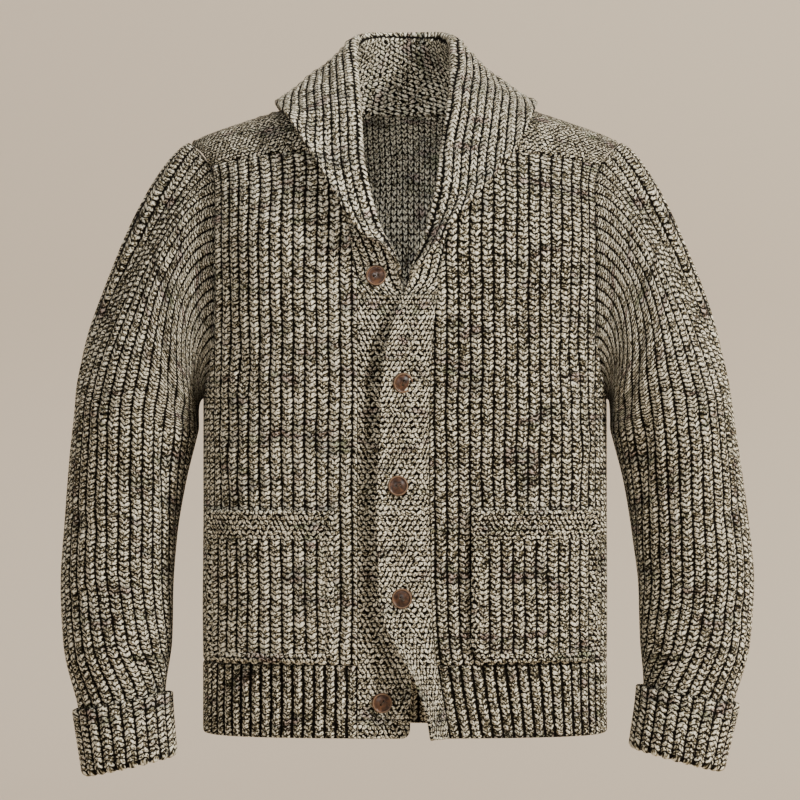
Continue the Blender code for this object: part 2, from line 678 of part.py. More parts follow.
def ring_point(table, height, share, offset=0.0):
    """A point of the sleeve's inner surface, and its direction out.

    share runs from -0.5 (underarm, round the back) through 0 (outer line) to 0.5
    (underarm, round the front)."""
    centre, across, half_width, half_depth = ring_axes(table, height)
    angle = ring_angle(min(1.0, abs(share) * 2), half_width, half_depth)
    front = Vector((0.0, -math.copysign(1.0, share), 0.0))
    point = centre + across * (half_width * math.cos(angle)) + front * (half_depth * math.sin(angle))
    out = across * (math.cos(angle) / half_width) + front * (math.sin(angle) / half_depth)
    out.normalize()
    return point + out * offset, out


def armhole_loop(sign):
    """The armhole's edge on the body: from the ridge round the front, and round the back.

    Each point has its place, its direction out of the cloth and its direction across
    the seam, away from the body's panel."""
    halves = {}
    for facing in (1, -1):
        points = []
        if facing > 0:
            arm = arc_of(ARMHOLE_U, 1)
            samples = [(arm, SHOULDER_START + SHOULDER_ARC * s, 1) for s in (1.0, *BEFORE_RIDGE)]
            seam_share = shoulder_seam_turn(ARMHOLE_U)
            front_top = SHOULDER_START + SHOULDER_ARC * seam_share
            arm_front = arc_of(ARMHOLE_U, -1)
            samples.append((arm_front, front_top, -1))
            samples += [(arm_front, rise, -1) for rise in reversed(armhole_rises(front_top))]
            samples += [(u, v, -1) for u, v, _ in reversed(armhole_run(-1, 1))]
        else:
            arm = arc_of(ARMHOLE_U, 1)
            shares = (1.0, *reversed(BEHIND_RIDGE))
            samples = [(arm, SHOULDER_START + SHOULDER_ARC * s, 1) for s in shares]
            straight_top = SHOULDER_START + SHOULDER_ARC * BACK_ARMHOLE_TOP
            samples += [(arm, rise, 1) for rise in reversed(armhole_rises(straight_top))]
            samples += [(u, v, 1) for u, v, _ in reversed(armhole_run(1, 1))]
        for u, v, side in samples:
            point, out = torso(sign * u, v, side)
            if abs(u - QUARTER[side]) < 1e-6:
                point.y = 0.0
                out = Vector((out.x, 0.0, out.z)).normalized()
            points.append((point, out))
        frames = []
        for k, (point, out) in enumerate(points):
            before = points[max(k - 1, 0)][0]
            after = points[min(k + 1, len(points) - 1)][0]
            along = (after - before).normalized()
            if k == 0:
                along = Vector((0.0, -facing, 0.0))
            if k == len(points) - 1:
                along = Vector((0.0, facing, 0.0))
            across = along.cross(out).normalized()
            if k < len(points) - 2 and across.x * sign < 0.0:
                across.negate()
            if k >= len(points) - 2 and across.z < 0.0:
                across.negate()
            frames.append((point, out, across))
        lengths = [0.0]
        for (a, _, _), (b, _, _) in zip(frames, frames[1:]):
            lengths.append(lengths[-1] + (b - a).length)
        halves[facing] = (lengths, frames)
    return halves


class Sleeve:
    """The form of one sleeve, from the armhole down to the cuff."""

    def __init__(self, sign, table):
        self.sign = sign
        self.table = table
        self.loop = armhole_loop(sign)
        self.biceps = table[0][3]
        self.top = self.biceps + CAP_HEIGHT
        self.girths = {}

    def start(self, share):
        """Where the cloth leaves the armhole: its place, direction out and heading."""
        lengths, frames = self.loop[1 if share >= 0.0 else -1]
        at = abs(share) * 2 * lengths[-1]
        k = min(int(np.searchsorted(lengths, at, side="right")) - 1, len(frames) - 2)
        t = (at - lengths[k]) / (lengths[k + 1] - lengths[k])
        point, out, across = (frames[k][i].lerp(frames[k + 1][i], t) for i in range(3))
        out.normalize()
        across = (across - out * across.dot(out)).normalized()
        lift = math.radians(90) * min(1.0, abs(share) * 2) ** 0.7
        heading = across * math.cos(lift) + out * math.sin(lift)
        facing = out * math.cos(lift) - across * math.sin(lift)
        base = point + across * (SEAM_GAP + (WALL + ARMPIT_EASE) * math.sin(lift))
        return base, facing, heading

    def point(self, share, height):
        if height <= self.biceps:
            return ring_point(self.table, height, share)[0]
        s = (self.top - height) / CAP_HEIGHT
        base, _, heading = self.start(share)
        end, _ = ring_point(self.table, self.biceps, share)
        below, _ = ring_point(self.table, self.biceps - 5 * MM, share)
        down = (below - end).normalized()
        low = ease((abs(share) - 0.22) / 0.28)
        push = CAP_PUSH + (CAP_PUSH_ARMPIT - CAP_PUSH) * low
        pull = CAP_PULL + (CAP_PULL_ARMPIT - CAP_PULL) * low
        a = 2 * s ** 3 - 3 * s ** 2 + 1
        b = s ** 3 - 2 * s ** 2 + s
        c = -2 * s ** 3 + 3 * s ** 2
        d = s ** 3 - s ** 2
        return base * a + heading * (push * b) + end * c + down * (pull * d)

    def girth(self, height):
        """Length round the sleeve at a height, front half and back half."""
        key = round(height, 6)
        if key not in self.girths:
            both = []
            for sign in (1, -1):
                ring = [self.point(sign * k / 80, height) for k in range(41)]
                both.append(sum((b - a).length for a, b in zip(ring, ring[1:])))
            self.girths[key] = (both[0] + both[1]) / 2
        return self.girths[key]

    def place(self, u, v):
        """u is the distance round from the outer line, v the height."""
        half = self.girth(v)
        share = max(-0.5, min(0.5, 0.5 * u / half))
        if abs(v - self.top) < 1e-9:
            base, facing, _ = self.start(share)
            return base, facing
        if v <= self.biceps - 1e-9:
            return ring_point(self.table, v, share)
        step = 0.0015
        here = self.point(share, v)
        lower = max(v - 0.4 * MM, self.biceps)
        upper = min(v + 0.4 * MM, self.top)
        along = self.point(share, lower) - self.point(share, upper)
        s0, s1 = share - step, share + step
        round_it = self.point(min(s1, 0.5), v) - self.point(max(s0, -0.5), v)
        if abs(share) > 0.4985:
            round_it = Vector((0.0, 1.0, 0.0))
        out = along.cross(round_it)
        centre = (self.point(0.0, v) + self.point(0.5, v)) / 2
        if out.dot(here - centre) < 0.0:
            out.negate()
        return here, out.normalized()


def sleeve(name, look, form):
    """A sleeve: its ribs run down from the armhole and end along the underarm seam."""
    end = cuff_butt(form) + SEAM_GAP
    top = form.top
    front_lengths = form.loop[1][0]
    back_lengths = form.loop[-1][0]
    half_top = form.girth(top)
    head = [(-0.5 * 2 * half_top * length / back_lengths[-1], top, 0.0)
            for length in reversed(back_lengths)]
    head += [(half_top * length / front_lengths[-1], top, 0.0) for length in front_lengths[1:]]
    cap_rows = [top - CAP_HEIGHT * share for share in (0.10, 0.28, 0.50, 0.75)]
    rows = cap_rows + [form.biceps, -0.420, -0.510, -0.585]
    sides = [top] + rows + [-0.615, -0.635, end]
    front_side = [(form.girth(v), v, 0.0) for v in sides]
    back_side = [(-form.girth(v), v, 0.0) for v in reversed(sides)]
    half_end = form.girth(end)
    foot = straight((half_end, end), (-half_end, end), 28)
    runs = [(head, True), (front_side, False), (foot, True), (back_side, False)]
    flat = [(p[0], p[1]) for points, _ in runs for p in points[:-1]]
    lines = ribs_between(-half_top, half_top, RIB_PITCH)
    outer = []
    for line in lines_inside(flat, lines, rows, SEAM_MARGIN):
        kept = []
        for u, v, lift in line:
            near_seam = ease((abs(u) / form.girth(v) - 0.62) / 0.26) if v > form.biceps else 0.0
            if near_seam < 0.05 or v < cap_rows[0] + 1e-9:
                kept.append((u, v, lift * (1.0 - near_seam)))
        if len(kept) > 1:
            outer.append(kept)
    inside = [k / 10 for k in range(-9, 10)]
    inner = [[(share * form.girth(v), v, 0.0) for v in sides[1:-1]] for share in inside]
    beside = [[(side * (form.girth(v) - SEAM_MARGIN / 2), v, 0.0) for v in sides[1:-1]]
              for side in (-1, 1)]
    outer += beside
    inner += beside
    return cloth_wall(name, look, runs, outer, inner, form.place, (RIB_PITCH / 2, 32 * MM))


def cuff_butt(form):
    """Height of the sleeve's lower end, inside the turned-back cuff."""
    return form.table[-1][3] + CUFF_INSIDE


def cuff(name, look, form):
    """A cuff: it goes on from the sleeve's end, down, and is turned back up outside."""
    low = form.table[-1][3]
    bend = (CUFF_LAYER - WALL) / 2
    butt = cuff_butt(form) - SEAM_GAP
    top = low + CUFF_HEIGHT
    inside = butt - low
    bend_length = math.pi * bend
    total = inside + bend_length + CUFF_HEIGHT

    levels = [0.0, inside * 0.6, inside, inside + bend_length / 3, inside + bend_length * 2 / 3,
              inside + bend_length, inside + bend_length + CUFF_HEIGHT / 2, total]
    _, across, _, _ = ring_axes(form.table, low)
    down = across.cross(Vector((0.0, 1.0, 0.0)))
    if down.z > 0.0:
        down.negate()

    def place(u, row):
        share = max(-0.5, min(0.5, u))
        v = float(np.interp(row, range(len(levels)), levels))
        if v <= inside:
            point, out = ring_point(form.table, butt - v, share, WALL)
            return point, -out
        if v >= inside + bend_length:
            height = low + (v - inside - bend_length)
            return ring_point(form.table, height, share, CUFF_LAYER)
        angle = (v - inside) / bend
        point, out = ring_point(form.table, low, share, WALL + bend * (1 - math.cos(angle)))
        facing = down * math.sin(angle) - out * math.cos(angle)
        return point + down * (bend * math.sin(angle)), facing

    girth = form.girth(low + CUFF_HEIGHT / 2) * 2 + 2 * math.pi * CUFF_LAYER
    count = 2 * round(girth / RIB_PITCH)
    columns = [-0.5 + k / count for k in range(count + 1)]

    def crest(k):
        return RIB_LIFT if k % 2 else 0.0

    last = len(levels) - 1
    upper = [(u, last, crest(k)) for k, u in enumerate(columns)]
    foot = [(u, 0.0, 0.0) for u in columns[:-2:CUFF_COARSE]] + [(0.5, 0.0, 0.0)]
    rows = list(range(1, last))
    side = list(range(last + 1))
    runs = [(foot, True), ([(0.5, v, 0.0) for v in side], False), (upper[::-1], True),
            ([(-0.5, v, 0.0) for v in reversed(side)], False)]
    outer = []
    for k in range(1, count):
        if k % CUFF_COARSE == 0:
            outer.append([(columns[k], v, 0.0) for v in rows[:4]])
            outer[-1] += [(columns[k], v, crest(k)) for v in rows[4:]]
        else:
            outer.append([(columns[k], v, crest(k)) for v in rows[4:]])
    inner = [[(columns[k], v, 0.0) for v in rows] for k in range(CUFF_COARSE, count, CUFF_COARSE)]
    return cloth_wall(name, look, runs, outer, inner, place,
                      (CUFF_COARSE / count, 1.0), (CUFF_COARSE / count, 1.0))


# ------------------------------------------------------------------ pockets
def pocket(name, look, sides):
    """A patch pocket, made from the front's own points moved out."""
    low, high = sides
    offset = WALL + RIB_LIFT + 2 * LAY_GAP
    corner = POCKET_CORNER
    bottom = POCKET_BOTTOM
    top = POCKET_TOP
    turns = [math.pi / 2 * k / 3 for k in range(4)]
    foot = [(low + corner * (1 - math.cos(a)), bottom + corner * (1 - math.sin(a)), 0.0) for a in turns]
    foot += straight((low + corner, bottom), (high - corner, bottom), 5)[1:-1]
    foot += [(high - corner * (1 - math.cos(a)), bottom + corner * (1 - math.sin(a)), 0.0)
             for a in reversed(turns)]
    right = straight((high, bottom + corner), (high, top), 3)
    mouth = straight((high, top), (low, top), 8, HALF_LIFT)
    left = straight((low, top), (low, bottom + corner), 3)
    runs = [(foot, True), (right, True), (mouth, True), (left, True)]
    border = top - POCKET_BORDER
    flat = [(p[0], p[1]) for points, _ in runs for p in points[:-1]]
    ribs = [(u, lift) for u, lift in ribs_between(low, high, RIB_PITCH)]
    outer = lines_inside(flat, ribs, [bottom + 0.05, border], RIB_MARGIN)
    outer = [[(u, v, lift if v <= border + 1e-9 else HALF_LIFT) for u, v, lift in line]
             for line in outer]
    inner = lines_inside(flat, [(u, 0.0) for u, _ in ribs_between(low, high, 2 * RIB_PITCH)],
                         [bottom + 0.05], RIB_MARGIN)

    def place(u, v):
        point, out = torso(u, v, -1)
        return point + out * offset, out

    return cloth_wall(name, look, runs, outer, inner, place, (RIB_PITCH / 2, 30 * MM))


# ------------------------------------------------------------------ buttons
def band_front(x, z, which):
    """The outer face of a band at a place, and its direction out."""
    seam, free = (LEFT_EDGE, LEFT_BAND) if which == "left" else (RIGHT_EDGE, RIGHT_BAND)
    z_band = min(z, BREAK)

    def surface(share):
        return band_section(z_band, share, seam, free)

    x0 = surface(0.0).x
    x1 = surface(1.0).x
    share = (x - x0) / (x1 - x0)
    across = surface(share + 0.1) - surface(share - 0.1)
    out = Vector((across.y, -across.x, 0.0)).normalized()
    if out.y > 0.0:
        out.negate()
    point = surface(share)
    if z > BREAK:
        rise = min(z, SHOULDER_START)
        point = torso(arc_at(x, rise, -1), rise, -1)[0]
    point.z = z
    return point + out * WALL, out


def button(name, look, x, z, which):
    """A turned button: a raised rim, a dished ring and a low dome with two holes."""
    point, out = band_front(x, z, which)
    radius = BUTTON_RADIUS
    # distance from the middle, height above the back
    profile = ((0.0, 0.0), (radius * 0.80, 0.0), (radius, 1.5 * MM), (radius, 3.2 * MM),
               (radius * 0.90, 4.2 * MM), (radius * 0.74, 2.8 * MM), (radius * 0.38, 3.4 * MM),
               (0.0, 3.6 * MM))
    mesh = bmesh.new()
    verts = [mesh.verts.new((r, 0.0, h)) for r, h in profile]
    edges = [mesh.edges.new(pair) for pair in zip(verts, verts[1:])]
    bmesh.ops.spin(mesh, geom=verts + edges, cent=(0, 0, 0), axis=(0, 0, 1), dvec=(0, 0, 0),
                   angle=math.tau, steps=14, use_duplicate=False)
    bmesh.ops.remove_doubles(mesh, verts=mesh.verts, dist=1e-6)
    bmesh.ops.recalc_face_normals(mesh, faces=mesh.faces)
    data = bpy.data.meshes.new(name)
    mesh.to_mesh(data)
    mesh.free()
    data.materials.append(look)
    data.shade_smooth()
    data.set_sharp_from_angle(angle=math.radians(40))
    made = bpy.data.objects.new(name, data)
    bpy.context.scene.collection.objects.link(made)
    made.location = point + out * LAY_GAP
    made.rotation_euler = out.to_track_quat("Z", "Y").to_euler()
    for side in (-1, 1):
        hole = bmesh.new()
        bmesh.ops.create_cone(hole, cap_ends=True, segments=6, radius1=BUTTON_HOLE,
                              radius2=BUTTON_HOLE, depth=12 * MM)
        cutter_data = bpy.data.meshes.new(f"{name}_hole")
        hole.to_mesh(cutter_data)
        hole.free()
        cutter = bpy.data.objects.new(f"{name}_hole", cutter_data)
        bpy.context.scene.collection.objects.link(cutter)
        cutter.parent = made
        cutter.location = (side * BUTTON_HOLE_OFFSET, 0.0, 2 * MM)
        cutter.hide_render = True
        cutter.display_type = "WIRE"
        cut = made.modifiers.new("hole", "BOOLEAN")
        cut.operation = "DIFFERENCE"
        cut.solver = "EXACT"
        cut.object = cutter
    return made


# ------------------------------------------------------------------ collar
def neck_edge(sign, rows):
    """One half of the neck edge, from the break to the middle of the back neck.

    Each point has its place on the panels' plain face and its direction out."""
    points = []
    for z in reversed(NECK_HEIGHTS):
        x = edge_x(rows, z)
        rise = rise_of_height(z, x, -1)
        points.append(torso(arc_at(x, rise, -1), rise, -1))
    rise = SHOULDER_START + SHOULDER_ARC * shoulder_seam_turn(SEAM_INNER)
    points.append(torso(sign * arc_of(SEAM_INNER, -1), rise, -1))
    for x, share in reversed(BACK_NECK):
        rise = SHOULDER_START + SHOULDER_ARC * share
        points.append(torso(sign * arc_at(x, rise, 1), rise, 1))
    return points


class Collar:
    """The form of the shawl collar: a stand, a soft roll and a fall that lies outside.

    u is the distance across, from the roll (negative on the stand, positive on the
    fall); v is the distance along the roll from the right break to the left one."""

    def __init__(self):
        right = neck_edge(-1, RIGHT_EDGE)
        left = neck_edge(1, LEFT_EDGE)
        self.frames = []
        points = right + left[-2::-1]
        for k, (point, out) in enumerate(points):
            before = points[max(k - 1, 0)][0]
            after = points[min(k + 1, len(points) - 1)][0]
            along = (after - before).normalized()
            inward = along.cross(out)
            self.frames.append((point, out, inward.normalized()))
        self.lengths = [0.0]
        for (a, _, _), (b, _, _) in zip(self.frames, self.frames[1:]):
            self.lengths.append(self.lengths[-1] + (b - a).length)
        half = self.lengths[len(right) - 1]
        whole = self.lengths[-1]
        stations = [(half * row[1], *row[2:]) for row in RIGHT_COLLAR]
        stations += [(whole - (whole - half) * row[1], *row[2:]) for row in reversed(LEFT_COLLAR)]
        self.rows = []
        v = 0.0
        last = None
        for seam, *values in stations:
            fold = Vector(values[:3])
            if last is not None:
                v += (fold - last).length
            last = fold
            self.rows.append((v, seam, *values))
        self.length = v
        self.sections = {}

    def neck_frame(self, length):
        k = min(int(np.searchsorted(self.lengths, length, side="right")) - 1,
                len(self.frames) - 2)
        k = max(k, 0)
        t = (length - self.lengths[k]) / (self.lengths[k + 1] - self.lengths[k])
        point, out, inward = (self.frames[k][i].lerp(self.frames[k + 1][i], t) for i in range(3))
        out.normalize()
        inward = (inward - out * inward.dot(out)).normalized()
        return point, out, inward

    def section(self, v):
        """The shape across the collar at a distance along it."""
        key = round(v, 7)
        if key in self.sections:
            return self.sections[key]
        seam, *values = smooth_rows(self.rows, v)
        fold = Vector(values[0:3])
        edge = Vector(values[3:6])
        turn = math.radians(values[6])
        rise = math.radians(values[7])
        step = 2 * MM
        along = (Vector(smooth_rows(self.rows, min(v + step, self.length))[1:4])
                 - Vector(smooth_rows(self.rows, max(v - step, 0.0))[1:4])).normalized()
        point, out, inward = self.neck_frame(seam)
        heading = inward * math.cos(rise) + out * math.sin(rise)
        shown = inward * math.sin(rise) - out * math.cos(rise)
        base = point + inward * SEAM_GAP + out * (WALL * math.cos(rise))
        peak = min(turn, math.pi / 2)
        thick = WALL + RIB_LIFT
        bend_start = fold
        for _ in range(3):
            towards = bend_start - base
            towards = (towards - along * towards.dot(along)).normalized()
            facing = along.cross(towards)
            centre = fold - (facing * math.cos(peak) + towards * math.sin(peak)) * (ROLL + thick)
            bend_start = centre + facing * ROLL
        bend_end = centre + (facing * math.cos(turn) + towards * math.sin(turn)) * ROLL
        after = towards * math.cos(turn) - facing * math.sin(turn)
        if turn < 1e-6:
            edge = bend_end
        stand = (bend_start - base).length
        fall = (edge - bend_end).length
        made = {"base": base, "heading": heading, "shown": shown, "towards": towards,
                "facing": facing, "centre": centre, "turn": turn, "start": bend_start,
                "end": bend_end, "after": after, "edge": edge, "stand": stand, "fall": fall,
                "half": ROLL * turn / 2, "seam": seam}
        self.sections[key] = made
        return made

    def extent(self, v):
        """Distances across from the roll to the seam and to the free edge."""
        s = self.section(v)
        return -(s["half"] + s["stand"]), s["half"] + s["fall"]

    def point(self, u, v):
        """A point of the hidden face, and the direction from the seam to the edge."""
        s = self.section(v)
        half = s["half"]
        if u < -half:
            t = min(1.0, (-u - half) / s["stand"])
            return curve(s["start"], -s["towards"] * s["stand"], s["base"],
                         -s["heading"] * s["stand"], t, -1.0)
        if u <= half and half > 0.0:
            angle = (u + half) / ROLL
            place = (s["facing"] * math.cos(angle) + s["towards"] * math.sin(angle)) * ROLL
            return (s["centre"] + place,
                    s["towards"] * math.cos(angle) - s["facing"] * math.sin(angle))
        if s["fall"] < 1e-6:
            return s["end"].copy(), s["after"].copy()
        t = min(1.0, (u - half) / s["fall"])
        return curve(s["end"], s["after"] * s["fall"], s["edge"], s["edge"] - s["end"], t, 1.0)

    def place(self, u, v):
        s = self.section(v)
        seam, _ = self.extent(v)
        at_break = v < 1e-9 or v > self.length - 1e-9
        if u <= seam + 1e-7:
            point, out = s["base"].copy(), s["shown"].copy()
        else:
            point, travel = self.point(u, v)
            step = 1.5 * MM
            ahead = self.point(u, min(v + step, self.length))[0]
            behind = self.point(u, max(v - step, 0.0))[0]
            out = (ahead - behind).cross(travel)
        if at_break:
            point.z = BREAK
            out.z = 0.0
        return point, out.normalized()


def curve(start, leave, end, arrive, t, sense):
    """A point of a smooth curve between two places, and its direction times sense."""
    a = 2 * t ** 3 - 3 * t ** 2 + 1
    b = t ** 3 - 2 * t ** 2 + t
    c = -2 * t ** 3 + 3 * t ** 2
    d = t ** 3 - t ** 2
    point = start * a + leave * b + end * c + arrive * d
    slope = (start * (6 * t * t - 6 * t) + leave * (3 * t * t - 4 * t + 1)
             + end * (6 * t - 6 * t * t) + arrive * (3 * t * t - 2 * t))
    return point, slope.normalized() * sense


def collar(look):
    form = Collar()
    seam = []
    for length in form.lengths:
        low, high = 0.0, form.length
        for _ in range(40):
            middle = (low + high) / 2
            if form.section(middle)["seam"] < length:
                low = middle
            else:
                high = middle
        v = (low + high) / 2
        seam.append(v)
    seam[0] = 0.0
    seam[-1] = form.length
    seam_run = [(form.extent(v)[0], v, 0.0) for v in seam]
    count = round(form.length / COLLAR_ROW)
    rows = [form.length * k / count for k in range(1, count)]
    ends = [COLLAR_ROW * share for share in (0.25, 0.5, 0.75)]
    rows = ends + rows + [form.length - v for v in reversed(ends)]
    edge_run = [(form.extent(v)[1], v, 0.0) for v in [form.length, *reversed(rows), 0.0]]
    left_end = straight(seam_run[-1][:2], edge_run[0][:2], 5)
    right_end = straight(edge_run[-1][:2], seam_run[0][:2], 5)
    runs = [(seam_run, True), (left_end, True), (edge_run, True), (right_end, True)]
    flat = [(p[0], p[1]) for points, _ in runs for p in points[:-1]]
    low = min(p[0] for p in flat)
    high = max(p[0] for p in flat)
    outer = lines_inside(flat, ribs_between(low, high, COLLAR_PITCH), rows, RIB_MARGIN)
    inner = []
    for share in (-0.6, -0.2, 0.2, 0.6):
        line = []
        for v in rows:
            part = form.section(v)
            width = part["stand"] if share < 0.0 else part["fall"]
            line.append((math.copysign(part["half"], share) + width * share, v, 0.0))
        inner.append(line)
    inner += [[(share * form.section(v)["half"], v, 0.0) for v in rows] for share in (-0.9, 0.0, 0.9)]
    by_seam = [(form.extent(v)[0] + RIB_MARGIN / 2, v, 0.0) for v in seam[1:-1]]
    by_edge = [(form.extent(v)[1] - RIB_MARGIN / 2, v, 0.0) for v in rows[2:-2]]
    outer += [by_seam, by_edge]
    inner += [by_seam, by_edge]
    return cloth_wall("collar", look, runs, outer, inner, form.place,
                      (COLLAR_PITCH / 2, COLLAR_ROW))


def build_all():
    remove_scene_objects()
    knit = material("knit", KNIT)
    light = material("knit_light", KNIT_LIGHT)
    brown = material("button_brown", BUTTON_BROWN, 0.35)
    back_panel(knit)
    front_panel("right_front", knit, -1, RIGHT_EDGE)
    front_panel("left_front", knit, 1, LEFT_EDGE)
    quarter = QUARTER[1]
    hem_rib("hem_rib_back", knit, 1, -quarter, quarter)
    right_edge = arc_of(RIGHT_EDGE[0][1] / HALF_WIDTH, -1)
    left_edge = arc_of(LEFT_EDGE[0][1] / HALF_WIDTH, -1)
    hem_rib("hem_rib_right", knit, -1, right_edge, -QUARTER[-1], RIGHT_EDGE)
    hem_rib("hem_rib_left", knit, -1, left_edge, QUARTER[-1], LEFT_EDGE)
    band("right_band", light, RIGHT_EDGE, RIGHT_BAND)
    band("left_band", light, LEFT_EDGE, LEFT_BAND)
    for name, sign, table in (("right", -1, RIGHT_SLEEVE), ("left", 1, LEFT_SLEEVE)):
        form = Sleeve(sign, table)
        sleeve(f"{name}_sleeve", knit, form)
        cuff(f"{name}_cuff", knit, form)
    collar(light)
    pocket("right_pocket", knit, RIGHT_POCKET)
    pocket("left_pocket", knit, LEFT_POCKET)
    for name, x, z, which in BUTTONS:
        button(name, brown, x, z, which)


build_all()
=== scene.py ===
# %% [markdown]
# # A chunky knitted cardigan with a shawl collar
# The garment is filled out as if somebody wore it, with nobody inside.  Every piece that a
# knitter would make is a wall of thick ribbed cloth: panels, sleeves, cuffs, hem ribbing,
# bands, pockets and one long collar.  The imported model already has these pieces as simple
# solids.  Here each solid is replaced by a finer wall on the same form, with rounded
# edges, soft creases and a knitted, marled surface.

# %% Load the frame and keep its box
import math

import bpy
import numpy as np
from mathutils import Euler, Matrix, Vector
from mathutils.kdtree import KDTree


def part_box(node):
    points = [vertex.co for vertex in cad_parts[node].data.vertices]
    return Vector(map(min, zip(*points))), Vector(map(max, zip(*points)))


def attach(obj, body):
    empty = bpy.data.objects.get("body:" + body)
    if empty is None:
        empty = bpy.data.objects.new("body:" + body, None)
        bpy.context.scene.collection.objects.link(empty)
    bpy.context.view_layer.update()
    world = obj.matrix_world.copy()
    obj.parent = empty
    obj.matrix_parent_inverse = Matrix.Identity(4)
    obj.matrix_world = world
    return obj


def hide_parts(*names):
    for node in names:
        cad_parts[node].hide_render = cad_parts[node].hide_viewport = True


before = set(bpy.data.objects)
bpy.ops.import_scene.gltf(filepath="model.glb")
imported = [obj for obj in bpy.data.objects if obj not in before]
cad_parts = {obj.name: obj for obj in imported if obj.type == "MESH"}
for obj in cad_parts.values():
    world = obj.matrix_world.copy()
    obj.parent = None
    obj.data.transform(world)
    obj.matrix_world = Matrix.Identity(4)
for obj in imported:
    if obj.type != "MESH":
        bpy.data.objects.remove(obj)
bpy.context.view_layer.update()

print("nodes to dress:", len(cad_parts))

# %% [markdown]
# ## Camera
# The photograph looks straight at the front, level with the middle of the garment.  The
# distance, four and a half metres, is a guess.  The picture is square, so the lens is found
# from the size of one pixel at the garment's centre plane.

# %% Camera
MM = 0.001
PIXEL = 1.08 * MM            # size of a pixel at the centre plane
IMAGE = 800
CAMERA_DISTANCE = 4.5
CAMERA_X = -0.0054
CAMERA_Z = -0.311
SENSOR = 36.0

camera_data = bpy.data.cameras.new("camera")
camera_data.sensor_width = SENSOR
camera_data.lens = SENSOR * CAMERA_DISTANCE / (PIXEL * IMAGE)
camera = bpy.data.objects.new("camera", camera_data)
camera.location = (CAMERA_X, -CAMERA_DISTANCE, CAMERA_Z)
camera.rotation_euler = (math.radians(90), 0.0, 0.0)
bpy.context.scene.collection.objects.link(camera)
bpy.context.scene.camera = camera
print("lens", round(camera_data.lens, 1), "mm")

# %% [markdown]
# ## Floor, backdrop and light
# One pale sheet is the floor and curves up behind the garment, as in a photo studio.  A
# lamp stands to the viewer's upper right, as the shadows in the photograph say, and a
# weak one beside the camera softens them.  A third lights the sheet.  A narrow snoot looks
# through the neck, because the photograph shows the inside of the back clearly; whether a
# lamp stood there isn't known.  The world gives the rest.

# %% Backdrop sheet
FLOOR_Z = -0.86
WALL_Y = 1.5
BEND_RADIUS = 0.7
BACKDROP_HALF_WIDTH = 6.0


def backdrop_profile():
    """Places (y, z) along the sheet, from in front of the camera to high behind."""
    turns = [math.pi / 2 * k / 12 for k in range(13)]
    bend = [(WALL_Y - BEND_RADIUS * (1 - math.sin(a)), FLOOR_Z + BEND_RADIUS * (1 - math.cos(a)))
            for a in turns]
    return [(-7.0, FLOOR_Z)] + bend + [(WALL_Y, 5.0)]


def plain_material(name, colour, roughness):
    made = bpy.data.materials.new(name)
    made.use_nodes = True
    shader = made.node_tree.nodes["Principled BSDF"]
    shader.inputs["Base Color"].default_value = (*colour, 1.0)
    shader.inputs["Roughness"].default_value = roughness
    return made


profile = backdrop_profile()
backdrop_points = [(x, y, z) for y, z in profile
                   for x in (-BACKDROP_HALF_WIDTH, BACKDROP_HALF_WIDTH)]
backdrop_faces = [(2 * k, 2 * k + 1, 2 * k + 3, 2 * k + 2) for k in range(len(profile) - 1)]
backdrop_mesh = bpy.data.meshes.new("backdrop")
backdrop_mesh.from_pydata(backdrop_points, [], backdrop_faces)
backdrop_mesh.shade_smooth()
backdrop_mesh.materials.append(plain_material("backdrop_paper", (0.62, 0.53, 0.42), 0.9))
backdrop = bpy.data.objects.new("backdrop", backdrop_mesh)
bpy.context.scene.collection.objects.link(backdrop)

# %% [markdown]
# The key lamp is small, so the collar's and the band's raised edges throw shadows.  No
# cast shadow is drawn into a material.  The dark gaps between the strands of yarn are: the
# stitches are colour and bump, so nothing there could throw a shadow of its own.

# %% Lamps and world
# name, place, size, watts, colour
LAMPS = (
    ("key", (4.9, -3.9, 2.9), 0.9, 560.0, (1.0, 0.965, 0.91)),
    ("fill", (-0.7, -4.3, 0.3), 1.8, 40.0, (1.0, 0.98, 0.95)),
    ("wall", (0.0, 0.2, 2.9), 2.0, 44.0, (1.0, 0.97, 0.93)),
)
AIM = Vector((0.0, 0.0, -0.30))
SNOOT_PLACE = (0.06, -3.2, 0.30)
SNOOT_AIM = Vector((-0.006, 0.08, -0.105))
SNOOT_WATTS = 170.0
SNOOT_ANGLE = math.radians(4.6)
for lamp_name, place, size, watts, colour in LAMPS:
    lamp_data = bpy.data.lights.new(lamp_name, "AREA")
    lamp_data.shape = "DISK"
    lamp_data.size = size
    lamp_data.energy = watts
    lamp_data.color = colour
    lamp = bpy.data.objects.new(lamp_name, lamp_data)
    lamp.location = place
    aim = Vector((0.0, 1.5, 0.0)) if lamp_name == "wall" else AIM
    lamp.rotation_euler = (aim - Vector(place)).to_track_quat("-Z", "Y").to_euler()
    bpy.context.scene.collection.objects.link(lamp)
snoot_data = bpy.data.lights.new("snoot", "SPOT")
snoot_data.energy = SNOOT_WATTS
snoot_data.spot_size = SNOOT_ANGLE
snoot_data.spot_blend = 0.8
snoot_data.shadow_soft_size = 0.10
snoot = bpy.data.objects.new("snoot", snoot_data)
snoot.location = SNOOT_PLACE
snoot.rotation_euler = (SNOOT_AIM - Vector(SNOOT_PLACE)).to_track_quat("-Z", "Y").to_euler()
bpy.context.scene.collection.objects.link(snoot)
world = bpy.data.worlds.new("studio")
world.use_nodes = True
world.node_tree.nodes["Background"].inputs["Color"].default_value = (1.0, 0.98, 0.95, 1.0)
world.node_tree.nodes["Background"].inputs["Strength"].default_value = 0.30
bpy.context.scene.world = world
print("lamps:", len(LAMPS) + 1)

